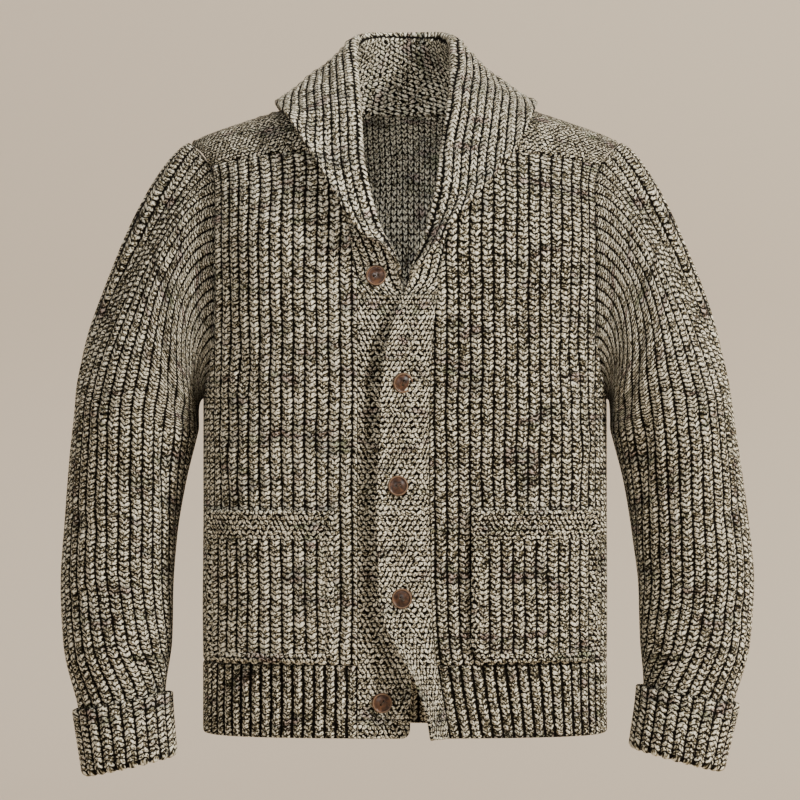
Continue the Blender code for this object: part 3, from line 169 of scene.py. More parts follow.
# %% [markdown]
# ## The garment's sizes
# These are the sizes that the solids were made from, in metres.  The right side is the
# wearer's right, which is the viewer's left.

# %% Driving sizes
WALL = 3.4 * MM              # cloth thickness between the ribs
RIB_PITCH = 12.4 * MM        # rib to rib on the body, sleeves, pockets and cuffs
HEM_PITCH = 11.5 * MM
COLLAR_PITCH = 8.6 * MM
INSIDE_PITCH = 6.2 * MM      # the wrong side of the back shows every second column too
SEAM_GAP = 0.3 * MM
LAY_GAP = 0.5 * MM
RIB_LIFT = 1.6 * MM
HALF_WIDTH = 212.5 * MM
SECTION_POWER = 2.8          # 2 is an ellipse, more is squarer
SHOULDER_START = -0.165
SHOULDER_ARC = 0.245
SHOULDER_FLARE = 30 * MM
HEM_TOP = -0.5905
HEM_BOTTOM = -0.6680
ARMHOLE_U = 0.947
ARMHOLE_TURN = -0.235
ARMPIT = -0.310
BREAK = -0.200
RIDGE = (38.5 * MM, 0.27, 0.25)      # height at the centre, slope, curve
# height, depth of the front, depth of the back
BODY_DEPTHS = ((-0.670, 0.106, 0.106), (-0.550, 0.112, 0.107), (-0.420, 0.118, 0.107),
               (-0.300, 0.121, 0.111), (-0.165, 0.118, 0.114))
# height, distance from the centre plane of the front's inner edge
RIGHT_EDGE = ((-0.668, -0.0504), (-0.200, -0.0504), (-0.165, -0.0540),
              (-0.120, -0.0610), (-0.080, -0.0690), (-0.045, -0.0770))
LEFT_EDGE = ((-0.668, 0.0462), (-0.614, 0.0375), (-0.5635, 0.0300), (-0.507, 0.0275),
             (-0.437, 0.0260), (-0.353, 0.0250), (-0.293, 0.0265), (-0.200, 0.0334),
             (-0.165, 0.0380), (-0.120, 0.0500), (-0.080, 0.0630), (-0.045, 0.0770))
# distance from the centre plane, share of the way from the chest up to the ridge
BACK_NECK = ((0.000, 0.591), (0.030, 0.629), (0.050, 0.660), (0.068, 0.725), (0.080, 0.845),
             (0.0855, 1.000), (0.0845, 1.236), (0.0810, 1.395))
SEAM_INNER = 0.352
NECK_HEIGHTS = (-0.062, -0.080, -0.100, -0.120, -0.142, -0.165, BREAK)

# %% [markdown]
# ## Smooth curves between the rows of a table
# A maker checks a garment at a few heights.  The curve between two of them runs smoothly
# and never overshoots, so no bulge appears that the table doesn't name.

# %% Table curves
def ease(value):
    value = np.clip(value, 0.0, 1.0)
    return value * value * (3.0 - 2.0 * value)


def unit(vectors):
    return vectors / np.maximum(np.linalg.norm(vectors, axis=-1, keepdims=True), 1e-12)


def table_curve(rows, at):
    """The columns after the first, for each place in at along the first column."""
    rows = np.array(sorted(rows), dtype=float)
    x, y = rows[:, 0], rows[:, 1:]
    at = np.clip(np.asarray(at, dtype=float), x[0], x[-1])
    i = np.clip(np.searchsorted(x, at) - 1, 0, len(x) - 2)
    step = np.diff(x)
    slope = np.diff(y, axis=0) / step[:, None]
    tangent = np.concatenate([slope[:1], slope[1:] * 0.0, slope[-1:]])
    before, after = slope[:-1], slope[1:]
    same = before * after > 0.0
    tangent[1:-1][same] = 2 * (before * after)[same] / (before + after)[same]
    t = ((at - x[i]) / step[i])[..., None]
    blend = t * t * (3.0 - 2.0 * t)
    bend = (t * (1 - t) ** 2 * tangent[i] - t * t * (1 - t) * tangent[i + 1]) * step[i][..., None]
    return y[i] * (1.0 - blend) + y[i + 1] * blend + bend


def edge_x(rows, height):
    return table_curve(rows, height)[..., 0]


# %% [markdown]
# ## The body's form
# Around the body, a section is a squared ellipse.  A place on it is given by its arc
# distance from the centre line.  Above the chest the sections roll over into the shoulder
# ridge, so one smooth surface carries fronts, back and hem.

# %% Body form
def quarter_section(depth):
    angles = np.linspace(0.0, math.pi / 2, 4001)
    u = np.sin(angles) ** (2.0 / SECTION_POWER)
    c = np.cos(angles) ** (2.0 / SECTION_POWER)
    steps = np.hypot(np.diff(u) * HALF_WIDTH, np.diff(c) * depth)
    return np.concatenate([[0.0], np.cumsum(steps)]), u, c


FRONT, BACK = -1, 1
SECTIONS = {FRONT: quarter_section(0.118), BACK: quarter_section(0.109)}
QUARTER = {side: SECTIONS[side][0][-1] for side in SECTIONS}


def section_point(arc, side):
    """Shares of the half width and of the depth at an arc distance from the centre."""
    lengths, us, cs = SECTIONS[side]
    distance = np.abs(arc)
    past = distance > lengths[-1]
    distance = np.where(past, 2.0 * lengths[-1] - distance, distance)
    return (np.copysign(np.interp(distance, lengths, us), arc),
            np.interp(distance, lengths, cs) * np.where(past, -1.0, 1.0))


def arc_of(u, side):
    lengths, us, _ = SECTIONS[side]
    return np.copysign(np.interp(np.abs(u), us, lengths), u)


def ridge_height(x):
    return RIDGE[0] - RIDGE[1] * np.abs(x) - RIDGE[2] * x * x


def torso_point(arc, rise, side):
    """rise is a height up to the shoulder's start, then a length over the rounding."""
    u, c = section_point(arc, side)
    share = np.maximum(0.0, (rise - SHOULDER_START) / SHOULDER_ARC)
    turn = share * math.pi / 2
    x = (HALF_WIDTH + SHOULDER_FLARE * ease((1.0 - np.abs(1.0 - share) - 0.36) / 0.64)) * u
    z = np.where(share <= 0.0, rise,
                 SHOULDER_START + (ridge_height(x) - SHOULDER_START) * np.sin(turn))
    depths = table_curve(BODY_DEPTHS, np.minimum(z, SHOULDER_START))
    along = side * c * np.cos(turn)
    return np.stack([x, along * np.where(along < 0.0, depths[..., 0], depths[..., 1]), z], -1)


def torso(arc, rise, side):
    """Places on the body's inner surface and the directions out of it."""
    arc, rise = np.broadcast_arrays(np.asarray(arc, float), np.asarray(rise, float))
    step = 0.4 * MM
    point = torso_point(arc, rise, side)
    across = torso_point(arc + step, rise, side) - torso_point(arc - step, rise, side)
    up = torso_point(arc, rise + step, side) - torso_point(arc, rise - step, side)
    out = np.cross(across, up) * (-side)
    low = ease((rise + 0.30) / 0.10)
    out[..., 2] *= np.where(rise < SHOULDER_START, low, 1.0)
    at_side = np.abs(np.abs(arc) - QUARTER[side]) < 1e-6
    point[..., 1] = np.where(at_side, side * SEAM_GAP / 2, point[..., 1])
    out[..., 1] = np.where(at_side, 0.0, out[..., 1])
    return point, unit(out)


def rise_of_height(z, x):
    share = (z - SHOULDER_START) / (ridge_height(x) - SHOULDER_START)
    above = SHOULDER_START + SHOULDER_ARC * np.arcsin(np.clip(share, 0.0, 1.0)) / (math.pi / 2)
    return np.where(z <= SHOULDER_START, z, above)


def arc_at(x, rise, side):
    """The arc distance whose place has this x, at this rise."""
    share = np.maximum(0.0, (rise - SHOULDER_START) / SHOULDER_ARC)
    top = 1.0 - np.abs(1.0 - share)
    return arc_of(x / (HALF_WIDTH + SHOULDER_FLARE * ease((top - 0.36) / 0.64)), side)


def seam_turn(u):
    """Where the forward shoulder seam lies, as a share of the way up to the ridge."""
    return (0.62 + 0.26 * np.abs(u)) / (math.pi / 2)


print("half way round the front:", round(QUARTER[FRONT] * 1000), "mm")

# %% [markdown]
# ## Ribs, wavering and creases
# Each rib is a rounded ridge, and hand knitting is never quite straight, so ribs waver by
# a fraction of a millimetre.  Creases are given one row of a table each: a line
# on the flat piece, how wide the crease is and how far it rises or sinks.

# %% Relief on the flat pieces
RIB_DEPTH = 2.5 * MM         # from a hollow to a crest
RIB_SINK = 0.8 * MM          # how far a hollow lies below the plain wall
WAVER = 0.55 * MM


def wavering(u, v, seed):
    """The rib coordinate u with the unevenness of hand knitting."""
    return u + WAVER * (np.sin(v / 0.031 + u / 0.047 + seed)
                        + 0.6 * np.sin(v / 0.0127 - u / 0.026 + 2 * seed))


def rib_relief(u, pitch):
    wave = 0.5 + 0.5 * np.cos(2 * math.pi * u / pitch)
    return RIB_DEPTH * wave ** 0.75 - RIB_SINK


def swell(u, v, seed, height):
    """A slow unevenness of the whole cloth."""
    return height * (np.sin(u / 0.061 + seed) * np.sin(v / 0.083 + 1.7 * seed)
                     + 0.5 * np.sin(u / 0.029 + v / 0.055 + 3 * seed))


def creased(u, v, rows):
    """Sum of creases: each row is (u0, v0, u1, v1, half width, height)."""
    total = np.zeros(np.broadcast(u, v).shape)
    for u0, v0, u1, v1, half_width, height in rows:
        du, dv = u1 - u0, v1 - v0
        along = ((u - u0) * du + (v - v0) * dv) / (du * du + dv * dv)
        near = np.clip(along, 0.0, 1.0)
        distance = np.hypot(u - u0 - near * du, v - v0 - near * dv)
        fade = np.sin(math.pi * np.clip(0.12 + 0.76 * near, 0.0, 1.0))
        total += height * fade * (1.0 - ease(distance / half_width))
    return total


def spaced(length, cell, rim=(0.0, 0.8 * MM, 2.0 * MM, 3.6 * MM)):
    """Shares from 0 to 1 with a cell's spacing, and finer ones next to both ends."""
    count = max(2, round((length - 2 * rim[-1]) / cell))
    middle = np.linspace(rim[-1], length - rim[-1], count + 1)
    ends = np.array(rim[:-1])
    return np.concatenate([ends, middle, length - ends[::-1]]) / length


# %% [markdown]
# ## From a grid to a wall of cloth
# A piece is one or more grids of places.  Each place has a direction out, a height for
# the knitted face, pattern coordinates for the knit and a mark for seed stitch.  The
# plain inner face and the knitted outer face are joined round the border.  Near the
# border both faces draw together, so edges are round and seams lie in a soft valley.

# %% Wall builder
EDGE_ROUNDING = 3.6 * MM
UV_SCALE = 100.0             # pattern coordinates are in centimetres


def directed_edges(quads):
    return np.concatenate([quads[:, [k, (k + 1) % 4]] for k in range(4)])


def edge_distance(points, border, reach):
    """How far each point is from the border, up to reach."""
    samples = []
    for a, b in border:
        count = max(1, int(np.linalg.norm(points[b] - points[a]) / (0.7 * MM)))
        samples += [points[a] + (points[b] - points[a]) * k / count for k in range(count)]
    tree = KDTree(len(samples))
    for k, sample in enumerate(samples):
        tree.insert(sample, k)
    tree.balance()
    return np.array([min(tree.find(point)[2], reach) for point in points])


def cloth_wall(name, blocks, look, rim_share=0.45, inside=None):
    """One closed wall from blocks of (base, out, lift, uv, moss) grids."""
    base = np.concatenate([block[0].reshape(-1, 3) for block in blocks])
    out = np.concatenate([block[1].reshape(-1, 3) for block in blocks])
    lift = np.concatenate([np.ravel(block[2]) for block in blocks])
    uv = np.concatenate([block[3].reshape(-1, 2) for block in blocks])
    moss = np.concatenate([np.ravel(block[4]) for block in blocks])
    quads = []
    first = 0
    for block in blocks:
        rows, columns = block[0].shape[:2]
        k = first + np.arange(rows * columns).reshape(rows, columns)
        quads.append(np.stack([k[:-1, :-1], k[:-1, 1:], k[1:, 1:], k[1:, :-1]], -1).reshape(-1, 4))
        first += rows * columns
    quads = np.concatenate(quads)
    _, kept, same = np.unique(np.round(base / (2e-3 * MM)).astype(np.int64), axis=0,
                              return_index=True, return_inverse=True)
    same = same.ravel()
    count = len(kept)
    weight = np.bincount(same, minlength=count)
    base = base[kept]
    out = unit(np.stack([np.bincount(same, out[:, k], count) for k in range(3)], -1))
    lift = np.bincount(same, lift, count) / weight
    moss = np.bincount(same, moss, count) / weight
    faces = same[quads]
    middle = len(quads) // 2
    a, b, c = (base[faces[middle, k]] for k in range(3))
    if np.dot(np.cross(b - a, c - b), out[faces[middle, 0]]) < 0.0:
        quads, faces = quads[:, ::-1], faces[:, ::-1]
    edges = directed_edges(faces)
    flat_edges = directed_edges(quads)
    code = edges[:, 0] * count + edges[:, 1]
    back_code = edges[:, 1] * count + edges[:, 0]
    free = ~np.isin(code, back_code) & (edges[:, 0] != edges[:, 1])
    border, flat_border = edges[free], flat_edges[free]
    near = edge_distance(base, border, EDGE_ROUNDING) / EDGE_ROUNDING
    full = np.sqrt(1.0 - (1.0 - near) ** 2)
    outer = base + out * ((WALL + lift) * (rim_share + (1.0 - rim_share) * full))[:, None]
    inner = base + out * (WALL * 0.22 * (1.0 - full))[:, None]
    rim = np.stack([border[:, 1], border[:, 0], border[:, 0] + count, border[:, 1] + count], -1)
    rim_uv = flat_border[:, [1, 0, 0, 1]]
    all_faces = np.concatenate([faces, faces[:, ::-1] + count, rim])
    loop_uv = uv[np.concatenate([quads, quads[:, ::-1], rim_uv])].reshape(-1, 2)
    mesh = bpy.data.meshes.new(name)
    mesh.from_pydata(np.concatenate([outer, inner]).tolist(), [], all_faces.tolist())
    mesh.uv_layers.new(name="pattern").data.foreach_set("uv", (loop_uv * UV_SCALE).ravel())
    mark = mesh.attributes.new("moss", "FLOAT", "POINT")
    mark.data.foreach_set("value", np.concatenate([moss, moss]))
    mesh.materials.append(look)
    if inside is not None:
        mesh.materials.append(inside)
        inner_face = np.zeros(len(all_faces), dtype=np.int32)
        inner_face[len(faces):2 * len(faces)] = 1
        mesh.polygons.foreach_set("material_index", inner_face)
    mesh.shade_smooth()
    mesh.validate()
    made = bpy.data.objects.new(name, mesh)
    bpy.context.scene.collection.objects.link(made)
    area = sum(face.area for face in mesh.polygons) / 2
    print(f"{name}: {2 * len(all_faces)} triangles, {area:.3f} square metres of cloth")
    return made


def grid_normals(points, closed=False):
    """Directions out of a grid of places, from the differences between neighbours."""
    along = np.gradient(points, axis=0)
    across = np.gradient(points, axis=1)
    if closed:
        joined = points[:, 1] - points[:, -2]
        across[:, 0] = joined / 2
        across[:, -1] = joined / 2
    return unit(np.cross(along, across))


def dressed(piece, node, area):
    """Parents a finished wall to the root empty and hides the solid that it stands for."""
    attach(piece, "root")
    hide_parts(node)


# %% [markdown]
# ## Formulas as shader nodes
# A knit pattern is arithmetic on the pattern coordinates.  Written with a small class
# whose plus and times place Math nodes, a formula in this file reads like a formula, and
# the node tree that comes out is the one that would be wired by hand.

# %% Signals
class Signal:
    """One number that flows through a node tree."""

    def __init__(self, tree, socket):
        self.tree = tree
        self.socket = socket

    def math(self, operation, *others):
        node = self.tree.nodes.new("ShaderNodeMath")
        node.operation = operation
        for k, value in enumerate((self, *others)):
            if isinstance(value, Signal):
                self.tree.links.new(value.socket, node.inputs[k])
            else:
                node.inputs[k].default_value = value
        return Signal(self.tree, node.outputs[0])

    def __add__(self, other):
        return self.math("ADD", other)

    def __sub__(self, other):
        return self.math("SUBTRACT", other)

    def __mul__(self, other):
        return self.math("MULTIPLY", other)

    def __truediv__(self, other):
        return self.math("DIVIDE", other)

    def __pow__(self, other):
        return self.math("POWER", other)

    def floor(self):
        return self.math("FLOOR")

    def size(self):
        return self.math("ABSOLUTE")

    def bump(self):
        """A rounded bump from 0 over 1 back to 0 between whole numbers."""
        return (self * math.pi).math("SINE").size()

    def above(self, limit):
        return self.math("GREATER_THAN", limit)

    def largest(self, other):
        return self.math("MAXIMUM", other)

    def clamped(self):
        return self.largest(0.0).math("MINIMUM", 1.0)

    def part(self):
        """The part after the decimal point."""
        return self.math("FRACT")

    def mixed(self, other, share):
        """This signal where share is 0 and the other where it is 1."""
        return self + (other - self) * share


def new_group(name, inputs, outputs):
    """A node group with named sockets: returns the tree, its inputs and its output node."""
    tree = bpy.data.node_groups.new(name, "ShaderNodeTree")
    for kind, socket_name, value in inputs:
        socket = tree.interface.new_socket(socket_name, in_out="INPUT", socket_type=kind)
        if value is not None:
            socket.default_value = value
    for kind, socket_name in outputs:
        tree.interface.new_socket(socket_name, in_out="OUTPUT", socket_type=kind)
    entry = tree.nodes.new("NodeGroupInput")
    leave = tree.nodes.new("NodeGroupOutput")
    return tree, entry, leave


def vector_of(tree, x, y, z=0.0):
    node = tree.nodes.new("ShaderNodeCombineXYZ")
    for k, value in enumerate((x, y, z)):
        if isinstance(value, Signal):
            tree.links.new(value.socket, node.inputs[k])
        else:
            node.inputs[k].default_value = value
    return node.outputs[0]


def noise(tree, vector, scale, detail, distortion=0.0):
    node = tree.nodes.new("ShaderNodeTexNoise")
    node.inputs["Scale"].default_value = scale
    node.inputs["Detail"].default_value = detail
    node.inputs["Distortion"].default_value = distortion
    tree.links.new(vector, node.inputs["Vector"])
    return node


def ramp(tree, value, stops):
    node = tree.nodes.new("ShaderNodeValToRGB")
    while len(node.color_ramp.elements) < len(stops):
        node.color_ramp.elements.new(0.5)
    for element, (position, colour) in zip(node.color_ramp.elements, stops):
        element.position = position
        element.color = (*colour, 1.0)
    tree.links.new(value.socket, node.inputs["Fac"])
    return node.outputs["Color"]


FLOAT, COLOUR, VECTOR = "NodeSocketFloat", "NodeSocketColor", "NodeSocketVector"

# %% [markdown]
# ## The stitches
# A rib is a column of V-shaped knit stitches with a narrow hollow beside it.  Each leg of
# a V is a short, slanting, plump strand, and dark gaps show round it.  Seed stitch turns
# every second stitch over, so its strands lean one way and the other in a chequer.  The
# group gives the height of the yarn, the place along and across its strand, and the
# column and row that name the strand, so that strands can differ.

# %% Stitch group
ROW = 0.575                  # height of a stitch in centimetres
SEED_WIDTH = 0.50            # width of a seed stitch in centimetres
SEED_ROW = 0.54
LEG_SLANT = 0.62             # how much of a row a leg climbs from the middle of its rib
JITTER = 0.36                # how far uneven tension moves a strand, in centimetres


def build_stitch_group():
    tree, entry, leave = new_group(
        "knit_stitches",
        [(VECTOR, "Pattern", None), (FLOAT, "Rib Pitch", 1.24), (FLOAT, "Hollow", 0.1),
         (FLOAT, "Row Depth", 0.7), (FLOAT, "Seed Stitch", 0.0)],
        [(FLOAT, "Height"), (FLOAT, "Along"), (FLOAT, "Across"), (FLOAT, "Column"), (FLOAT, "Row")])
    shake = tree.nodes.new("ShaderNodeSeparateXYZ")
    tree.links.new(noise(tree, entry.outputs["Pattern"], 2.4, 1.0).outputs["Color"], shake.inputs[0])
    split = tree.nodes.new("ShaderNodeSeparateXYZ")
    tree.links.new(entry.outputs["Pattern"], split.inputs[0])
    u = Signal(tree, split.outputs[0]) + (Signal(tree, shake.outputs[0]) - 0.5) * JITTER
    v = Signal(tree, split.outputs[1]) + (Signal(tree, shake.outputs[1]) - 0.5) * JITTER
    pitch, hollow, row_depth, seed = (Signal(tree, entry.outputs[name])
                                      for name in ("Rib Pitch", "Hollow", "Row Depth", "Seed Stitch"))
    # knit stitches: leg is 0 in the middle of the rib and 1 in the hollow
    column = u / pitch
    rib = (column + 0.5).floor()
    across = column - rib
    leg = across.size() * 2.0 / (hollow * -1.0 + 1.0)
    leg_phase = v / ROW - leg * LEG_SLANT
    plump = Signal(tree, shake.outputs[2]) * 0.5 + 0.75
    leg_height = (((leg * 0.86 + 0.14).clamped().bump() ** 0.65)
                  * (leg_phase.bump() ** row_depth) * plump)
    # seed stitch: an oval strand in each cell, most of them leaning the same way
    seed_v = v / SEED_ROW
    seed_u = u / SEED_WIDTH + (seed_v.floor() * 0.5).part()
    chance = tree.nodes.new("ShaderNodeTexWhiteNoise")
    chance.noise_dimensions = "2D"
    tree.links.new(vector_of(tree, seed_u.floor(), seed_v.floor()), chance.inputs["Vector"])
    lean = Signal(tree, chance.outputs["Value"]).above(0.30) * -2.0 + 1.0
    cell_u = seed_u.part() - 0.5
    cell_v = seed_v.part() - 0.5
    long = (cell_u + cell_v * lean) * 0.80
    short = (cell_v - cell_u * lean) * 1.35
    seed_height = ((long * long + short * short) * -1.7 + 1.0).clamped() ** 0.6 * plump
    height = leg_height.mixed(seed_height, seed)
    tree.links.new(height.socket, leave.inputs["Height"])
    tree.links.new(leg.mixed(long, seed).socket, leave.inputs["Along"])
    tree.links.new(leg_phase.mixed(short, seed).socket, leave.inputs["Across"])
    tree.links.new((rib * 2.0 + across.above(0.0)).mixed(seed_u.floor(), seed).socket,
                   leave.inputs["Column"])
    tree.links.new(leg_phase.floor().mixed(seed_v.floor(), seed).socket, leave.inputs["Row"])
    return tree


stitch_group = build_stitch_group()

# %% [markdown]
# ## Marled yarn
# The yarn is spun from a cream ply, an olive one and a nearly black one, so colours
# change every few millimetres along a strand.  Dyed wool also drifts in shade from row
# to row: here and there it is darker, and leans to blue, plum or green.  Where the yarn
# lies low, between the strands and in the hollows of the ribs, its colour is darkened to
# nearly black: painted shade.

# %% Yarn group
# painted shade: the colour of the yarn where it lies low, between the strands and in the rib hollows
PAINTED_GAP_SHADE = (0.0030, 0.0022, 0.0010)
DARK_PLY = (0.015, 0.012, 0.006)
OLIVE_PLY = (0.130, 0.108, 0.062)
SAND_PLY = (0.42, 0.365, 0.245)
CREAM_PLY = (0.95, 0.89, 0.72)


def build_yarn_group():
    tree, entry, leave = new_group(
        "marled_yarn",
        [(VECTOR, "Pattern", None), (FLOAT, "Height", 1.0), (FLOAT, "Along", 0.0),
         (FLOAT, "Across", 0.0), (FLOAT, "Column", 0.0), (FLOAT, "Row", 0.0),
         (FLOAT, "Lightness", 0.0), (FLOAT, "Place Seed", 0.0)],
        [(COLOUR, "Colour"), (FLOAT, "Relief")])
    height, along, across, column, row, lightness, place_seed = (
        Signal(tree, entry.outputs[name])
        for name in ("Height", "Along", "Across", "Column", "Row", "Lightness", "Place Seed"))
    strand = tree.nodes.new("ShaderNodeTexWhiteNoise")
    strand.noise_dimensions = "3D"
    tree.links.new(vector_of(tree, column, row, place_seed), strand.inputs["Vector"])
    per_strand = Signal(tree, strand.outputs["Value"])
    # flecks are longer along the strand than across it
    grain = vector_of(tree, along * 2.0 + column * 7.3, across * 2.6 + row * 3.1,
                      per_strand * 5.0 + place_seed)
    fleck = Signal(tree, noise(tree, grain, 1.0, 1.0).outputs["Fac"])
    fibre = Signal(tree, noise(tree, entry.outputs["Pattern"], 5.8, 0.5).outputs["Fac"])
    ply = fleck * 0.46 + per_strand * 0.08 + fibre * 0.46 + lightness * 0.05
    colour = ramp(tree, ply, ((0.405, DARK_PLY), (0.465, OLIVE_PLY), (0.51, SAND_PLY),
                              (0.555, CREAM_PLY)))
    # slow drift of the shade, longer along the rows than across them
    slow = tree.nodes.new("ShaderNodeVectorMath")
    slow.operation = "MULTIPLY_ADD"
    tree.links.new(entry.outputs["Pattern"], slow.inputs[0])
    slow.inputs[1].default_value = (0.20, 0.42, 0.0)
    tree.links.new(vector_of(tree, place_seed, place_seed * 0.37), slow.inputs[2])
    drift = Signal(tree, noise(tree, slow.outputs[0], 1.0, 2.0, 0.6).outputs["Fac"])
    dark = ((drift - 0.52) * 7.0).clamped()
    tint = Signal(tree, noise(tree, slow.outputs[0], 2.0, 1.0).outputs["Fac"])
    tint_colour = ramp(tree, tint, ((0.36, (0.36, 0.43, 0.35)), (0.46, (0.42, 0.42, 0.40)),
                                    (0.54, (0.37, 0.41, 0.46)), (0.63, (0.47, 0.38, 0.43))))
    tinted = tree.nodes.new("ShaderNodeMix")
    tinted.data_type = "RGBA"
    tinted.blend_type = "MULTIPLY"
    tree.links.new((dark * 0.85).socket, tinted.inputs["Factor"])
    tree.links.new(colour, tinted.inputs["A"])
    tree.links.new(tint_colour, tinted.inputs["B"])
    # painted shade: where the yarn lies low, between the strands and in the rib hollows, its colour
    # darkens to nearly black
    lit = ((height + lightness * 0.08 - 0.30) * 2.1).clamped() ** 1.3
    sunk = tree.nodes.new("ShaderNodeMix")
    sunk.data_type = "RGBA"
    tree.links.new(lit.socket, sunk.inputs["Factor"])
    sunk.inputs["A"].default_value = (*PAINTED_GAP_SHADE, 1.0)
    tree.links.new(tinted.outputs["Result"], sunk.inputs["B"])
    tree.links.new(sunk.outputs["Result"], leave.inputs["Colour"])
    tree.links.new((height + fibre * 0.3 + fleck * 0.1).socket, leave.inputs["Relief"])
    return tree


yarn_group = build_yarn_group()

# %% [markdown]
# Lightness was set piece by piece, until the render was about as bright as the photograph
# under these lamps, so a part of it is painted light and shade and not the yarn.  The two
# fronts and the sleeves of the real garment are most likely one yarn, so the differences in
# lightness between them are painted light and shade.  0 is plain.

# %% Knit materials
STITCH_RELIEF = 1.5 * MM     # height of the bump that the stitches give


def knit_material(name, pitch, lightness, seed, hollow=0.05, row_depth=0.70):
    """Marled wool in ribs with this pitch, or in seed stitch where the mesh marks it."""
    made = bpy.data.materials.new(name)
    made.use_nodes = True
    tree = made.node_tree
    shader = tree.nodes["Principled BSDF"]
    shader.inputs["Roughness"].default_value = 0.92
    shader.inputs["Specular IOR Level"].default_value = 0.05
    shader.inputs["Sheen Weight"].default_value = 0.02
    shader.inputs["Sheen Roughness"].default_value = 0.6
    pattern = tree.nodes.new("ShaderNodeUVMap")
    pattern.uv_map = "pattern"
    moss = tree.nodes.new("ShaderNodeAttribute")
    moss.attribute_name = "moss"
    stitches = tree.nodes.new("ShaderNodeGroup")
    stitches.node_tree = stitch_group
    stitches.inputs["Rib Pitch"].default_value = pitch / MM / 10
    stitches.inputs["Hollow"].default_value = hollow
    stitches.inputs["Row Depth"].default_value = row_depth
    tree.links.new(pattern.outputs["UV"], stitches.inputs["Pattern"])
    tree.links.new(Signal(tree, moss.outputs["Fac"]).above(0.5).socket,
                   stitches.inputs["Seed Stitch"])
    yarn = tree.nodes.new("ShaderNodeGroup")
    yarn.node_tree = yarn_group
    yarn.inputs["Place Seed"].default_value = seed
    yarn.inputs["Lightness"].default_value = lightness
    tree.links.new(pattern.outputs["UV"], yarn.inputs["Pattern"])
    for socket in ("Height", "Along", "Across", "Column", "Row"):
        tree.links.new(stitches.outputs[socket], yarn.inputs[socket])
    bump = tree.nodes.new("ShaderNodeBump")
    bump.inputs["Strength"].default_value = 1.0
    bump.inputs["Distance"].default_value = STITCH_RELIEF
    tree.links.new(yarn.outputs["Relief"], bump.inputs["Height"])
    tree.links.new(bump.outputs["Normal"], shader.inputs["Normal"])
    tree.links.new(yarn.outputs["Colour"], shader.inputs["Base Color"])
    return made


# the third number is lightness, in part painted light and shade, and wholly so between the two fronts
# and the sleeves
back_knit = knit_material("back_knit", RIB_PITCH, 0.0, 3.0)
right_knit = knit_material("right_front_knit", RIB_PITCH, 0.45, 17.0)
left_knit = knit_material("left_front_knit", RIB_PITCH, 0.1, 41.0)
sleeve_knit = knit_material("sleeve_knit", RIB_PITCH, 0.25, 67.0)
hem_knit = knit_material("hem_knit", HEM_PITCH, -0.1, 91.0, hollow=0.13, row_depth=0.50)
inside_knit = knit_material("inside_knit", INSIDE_PITCH, 0.8, 103.0)
collar_knit = knit_material("collar_knit", COLLAR_PITCH, 0.6, 113.0, hollow=0.09)
band_knit = knit_material("band_knit", RIB_PITCH, 0.4, 131.0)

# %% [markdown]
# ## Back panel
# On the real thing the back is knitted in one piece that runs up over the shoulders, so
# the shoulder seams lie in front of the ridge.  The grid is as wide as the armholes leave
# it, dips to the neck in the middle, and two small grids carry on over the shoulders.

# %% Grids on the body's form
FINE_COLUMN = RIB_PITCH / 6
FINE_ROW = 5.5 * MM


def armhole_arc(side):
    return float(arc_of(ARMHOLE_U, side))


def outer_arc(side, rise):
    """Arc distance of the side seam and, above the armpit, of the armhole."""
    arm = armhole_arc(side)
    sine = np.clip((rise - ARMHOLE_TURN) / (ARMPIT - ARMHOLE_TURN), 0.0, 1.0)
    curved = arm + (QUARTER[side] - arm) * (1.0 - np.sqrt(1.0 - sine ** 2))
    return np.where(rise <= ARMPIT + 1e-9, QUARTER[side],
                    np.where(rise < ARMHOLE_TURN, curved, arm))


def body_block(side, columns, rows, left, right, head, rib_u, foot=HEM_TOP, creases=(),
               seed=1.0, offset=0.0, moss_zone=None, swell_height=1.2 * MM):
    """A grid on the body between two edges, a foot and a head line."""
    s, t = columns[None, :], rows[:, None]
    foot_at = foot if callable(foot) else (lambda arc: foot + 0.0 * arc)
    v = foot_at(0.0 * s) + t * 0.3 + 0.0 * s
    for _ in range(5):
        u = left(v) + s * (right(v) - left(v))
        v = foot_at(u) + t * (head(u) - foot_at(u))
    place, out = torso(u, v, side)
    # creases fade out towards the seams, so neighbouring pieces still meet
    calm = ease(np.minimum(s, 1.0 - s) * 6.0) * ease(np.minimum(t, 1.0 - t) * 9.0)
    relief = (creased(u, v, creases) + swell(u, v, seed, swell_height)) * calm
    pattern = wavering(rib_u(u, v), v, seed)
    moss = np.zeros(u.shape) if moss_zone is None else moss_zone(u, v)
    lift = np.where(moss > 0.5, 0.6 * MM, rib_relief(pattern, RIB_PITCH))
    return place + out * (relief + offset)[..., None], out, lift, np.stack([pattern, v], -1), moss


# %% [markdown]
# The photograph doesn't show the back, so it is a guess: ribs like the fronts', and soft
# creases under the arms, at the waist and between the shoulders.

# %% Back
NECK_CORNER_X = BACK_NECK[5][0]
shoulder_top = SHOULDER_START + SHOULDER_ARC


def back_head(arc):
    """Upper line of the back's main grid: the neck curve, then straight at the ridge."""
    lengths = [float(arc_at(x, SHOULDER_START + SHOULDER_ARC * share, BACK))
               for x, share in BACK_NECK[:6]]
    shares = [share for _, share in BACK_NECK[:6]]
    rows = list(zip(lengths, shares))
    share = np.where(np.abs(arc) < lengths[-1], table_curve(rows, np.abs(arc))[..., 0], 1.0)
    return SHOULDER_START + SHOULDER_ARC * share


def back_shoulder_head(arc):
    u = section_point(arc, BACK)[0]
    return SHOULDER_START + SHOULDER_ARC * (2.0 - seam_turn(u))


def neck_side_arc(rise):
    """Inner edge of the back over the shoulder, from the ridge to the shoulder seam."""
    share = (rise - SHOULDER_START) / SHOULDER_ARC
    rows = [(row[1], row[0]) for row in BACK_NECK[5:]]
    return arc_at(table_curve(rows, share)[..., 0], rise, BACK)


def plain_u(u, v):
    return u


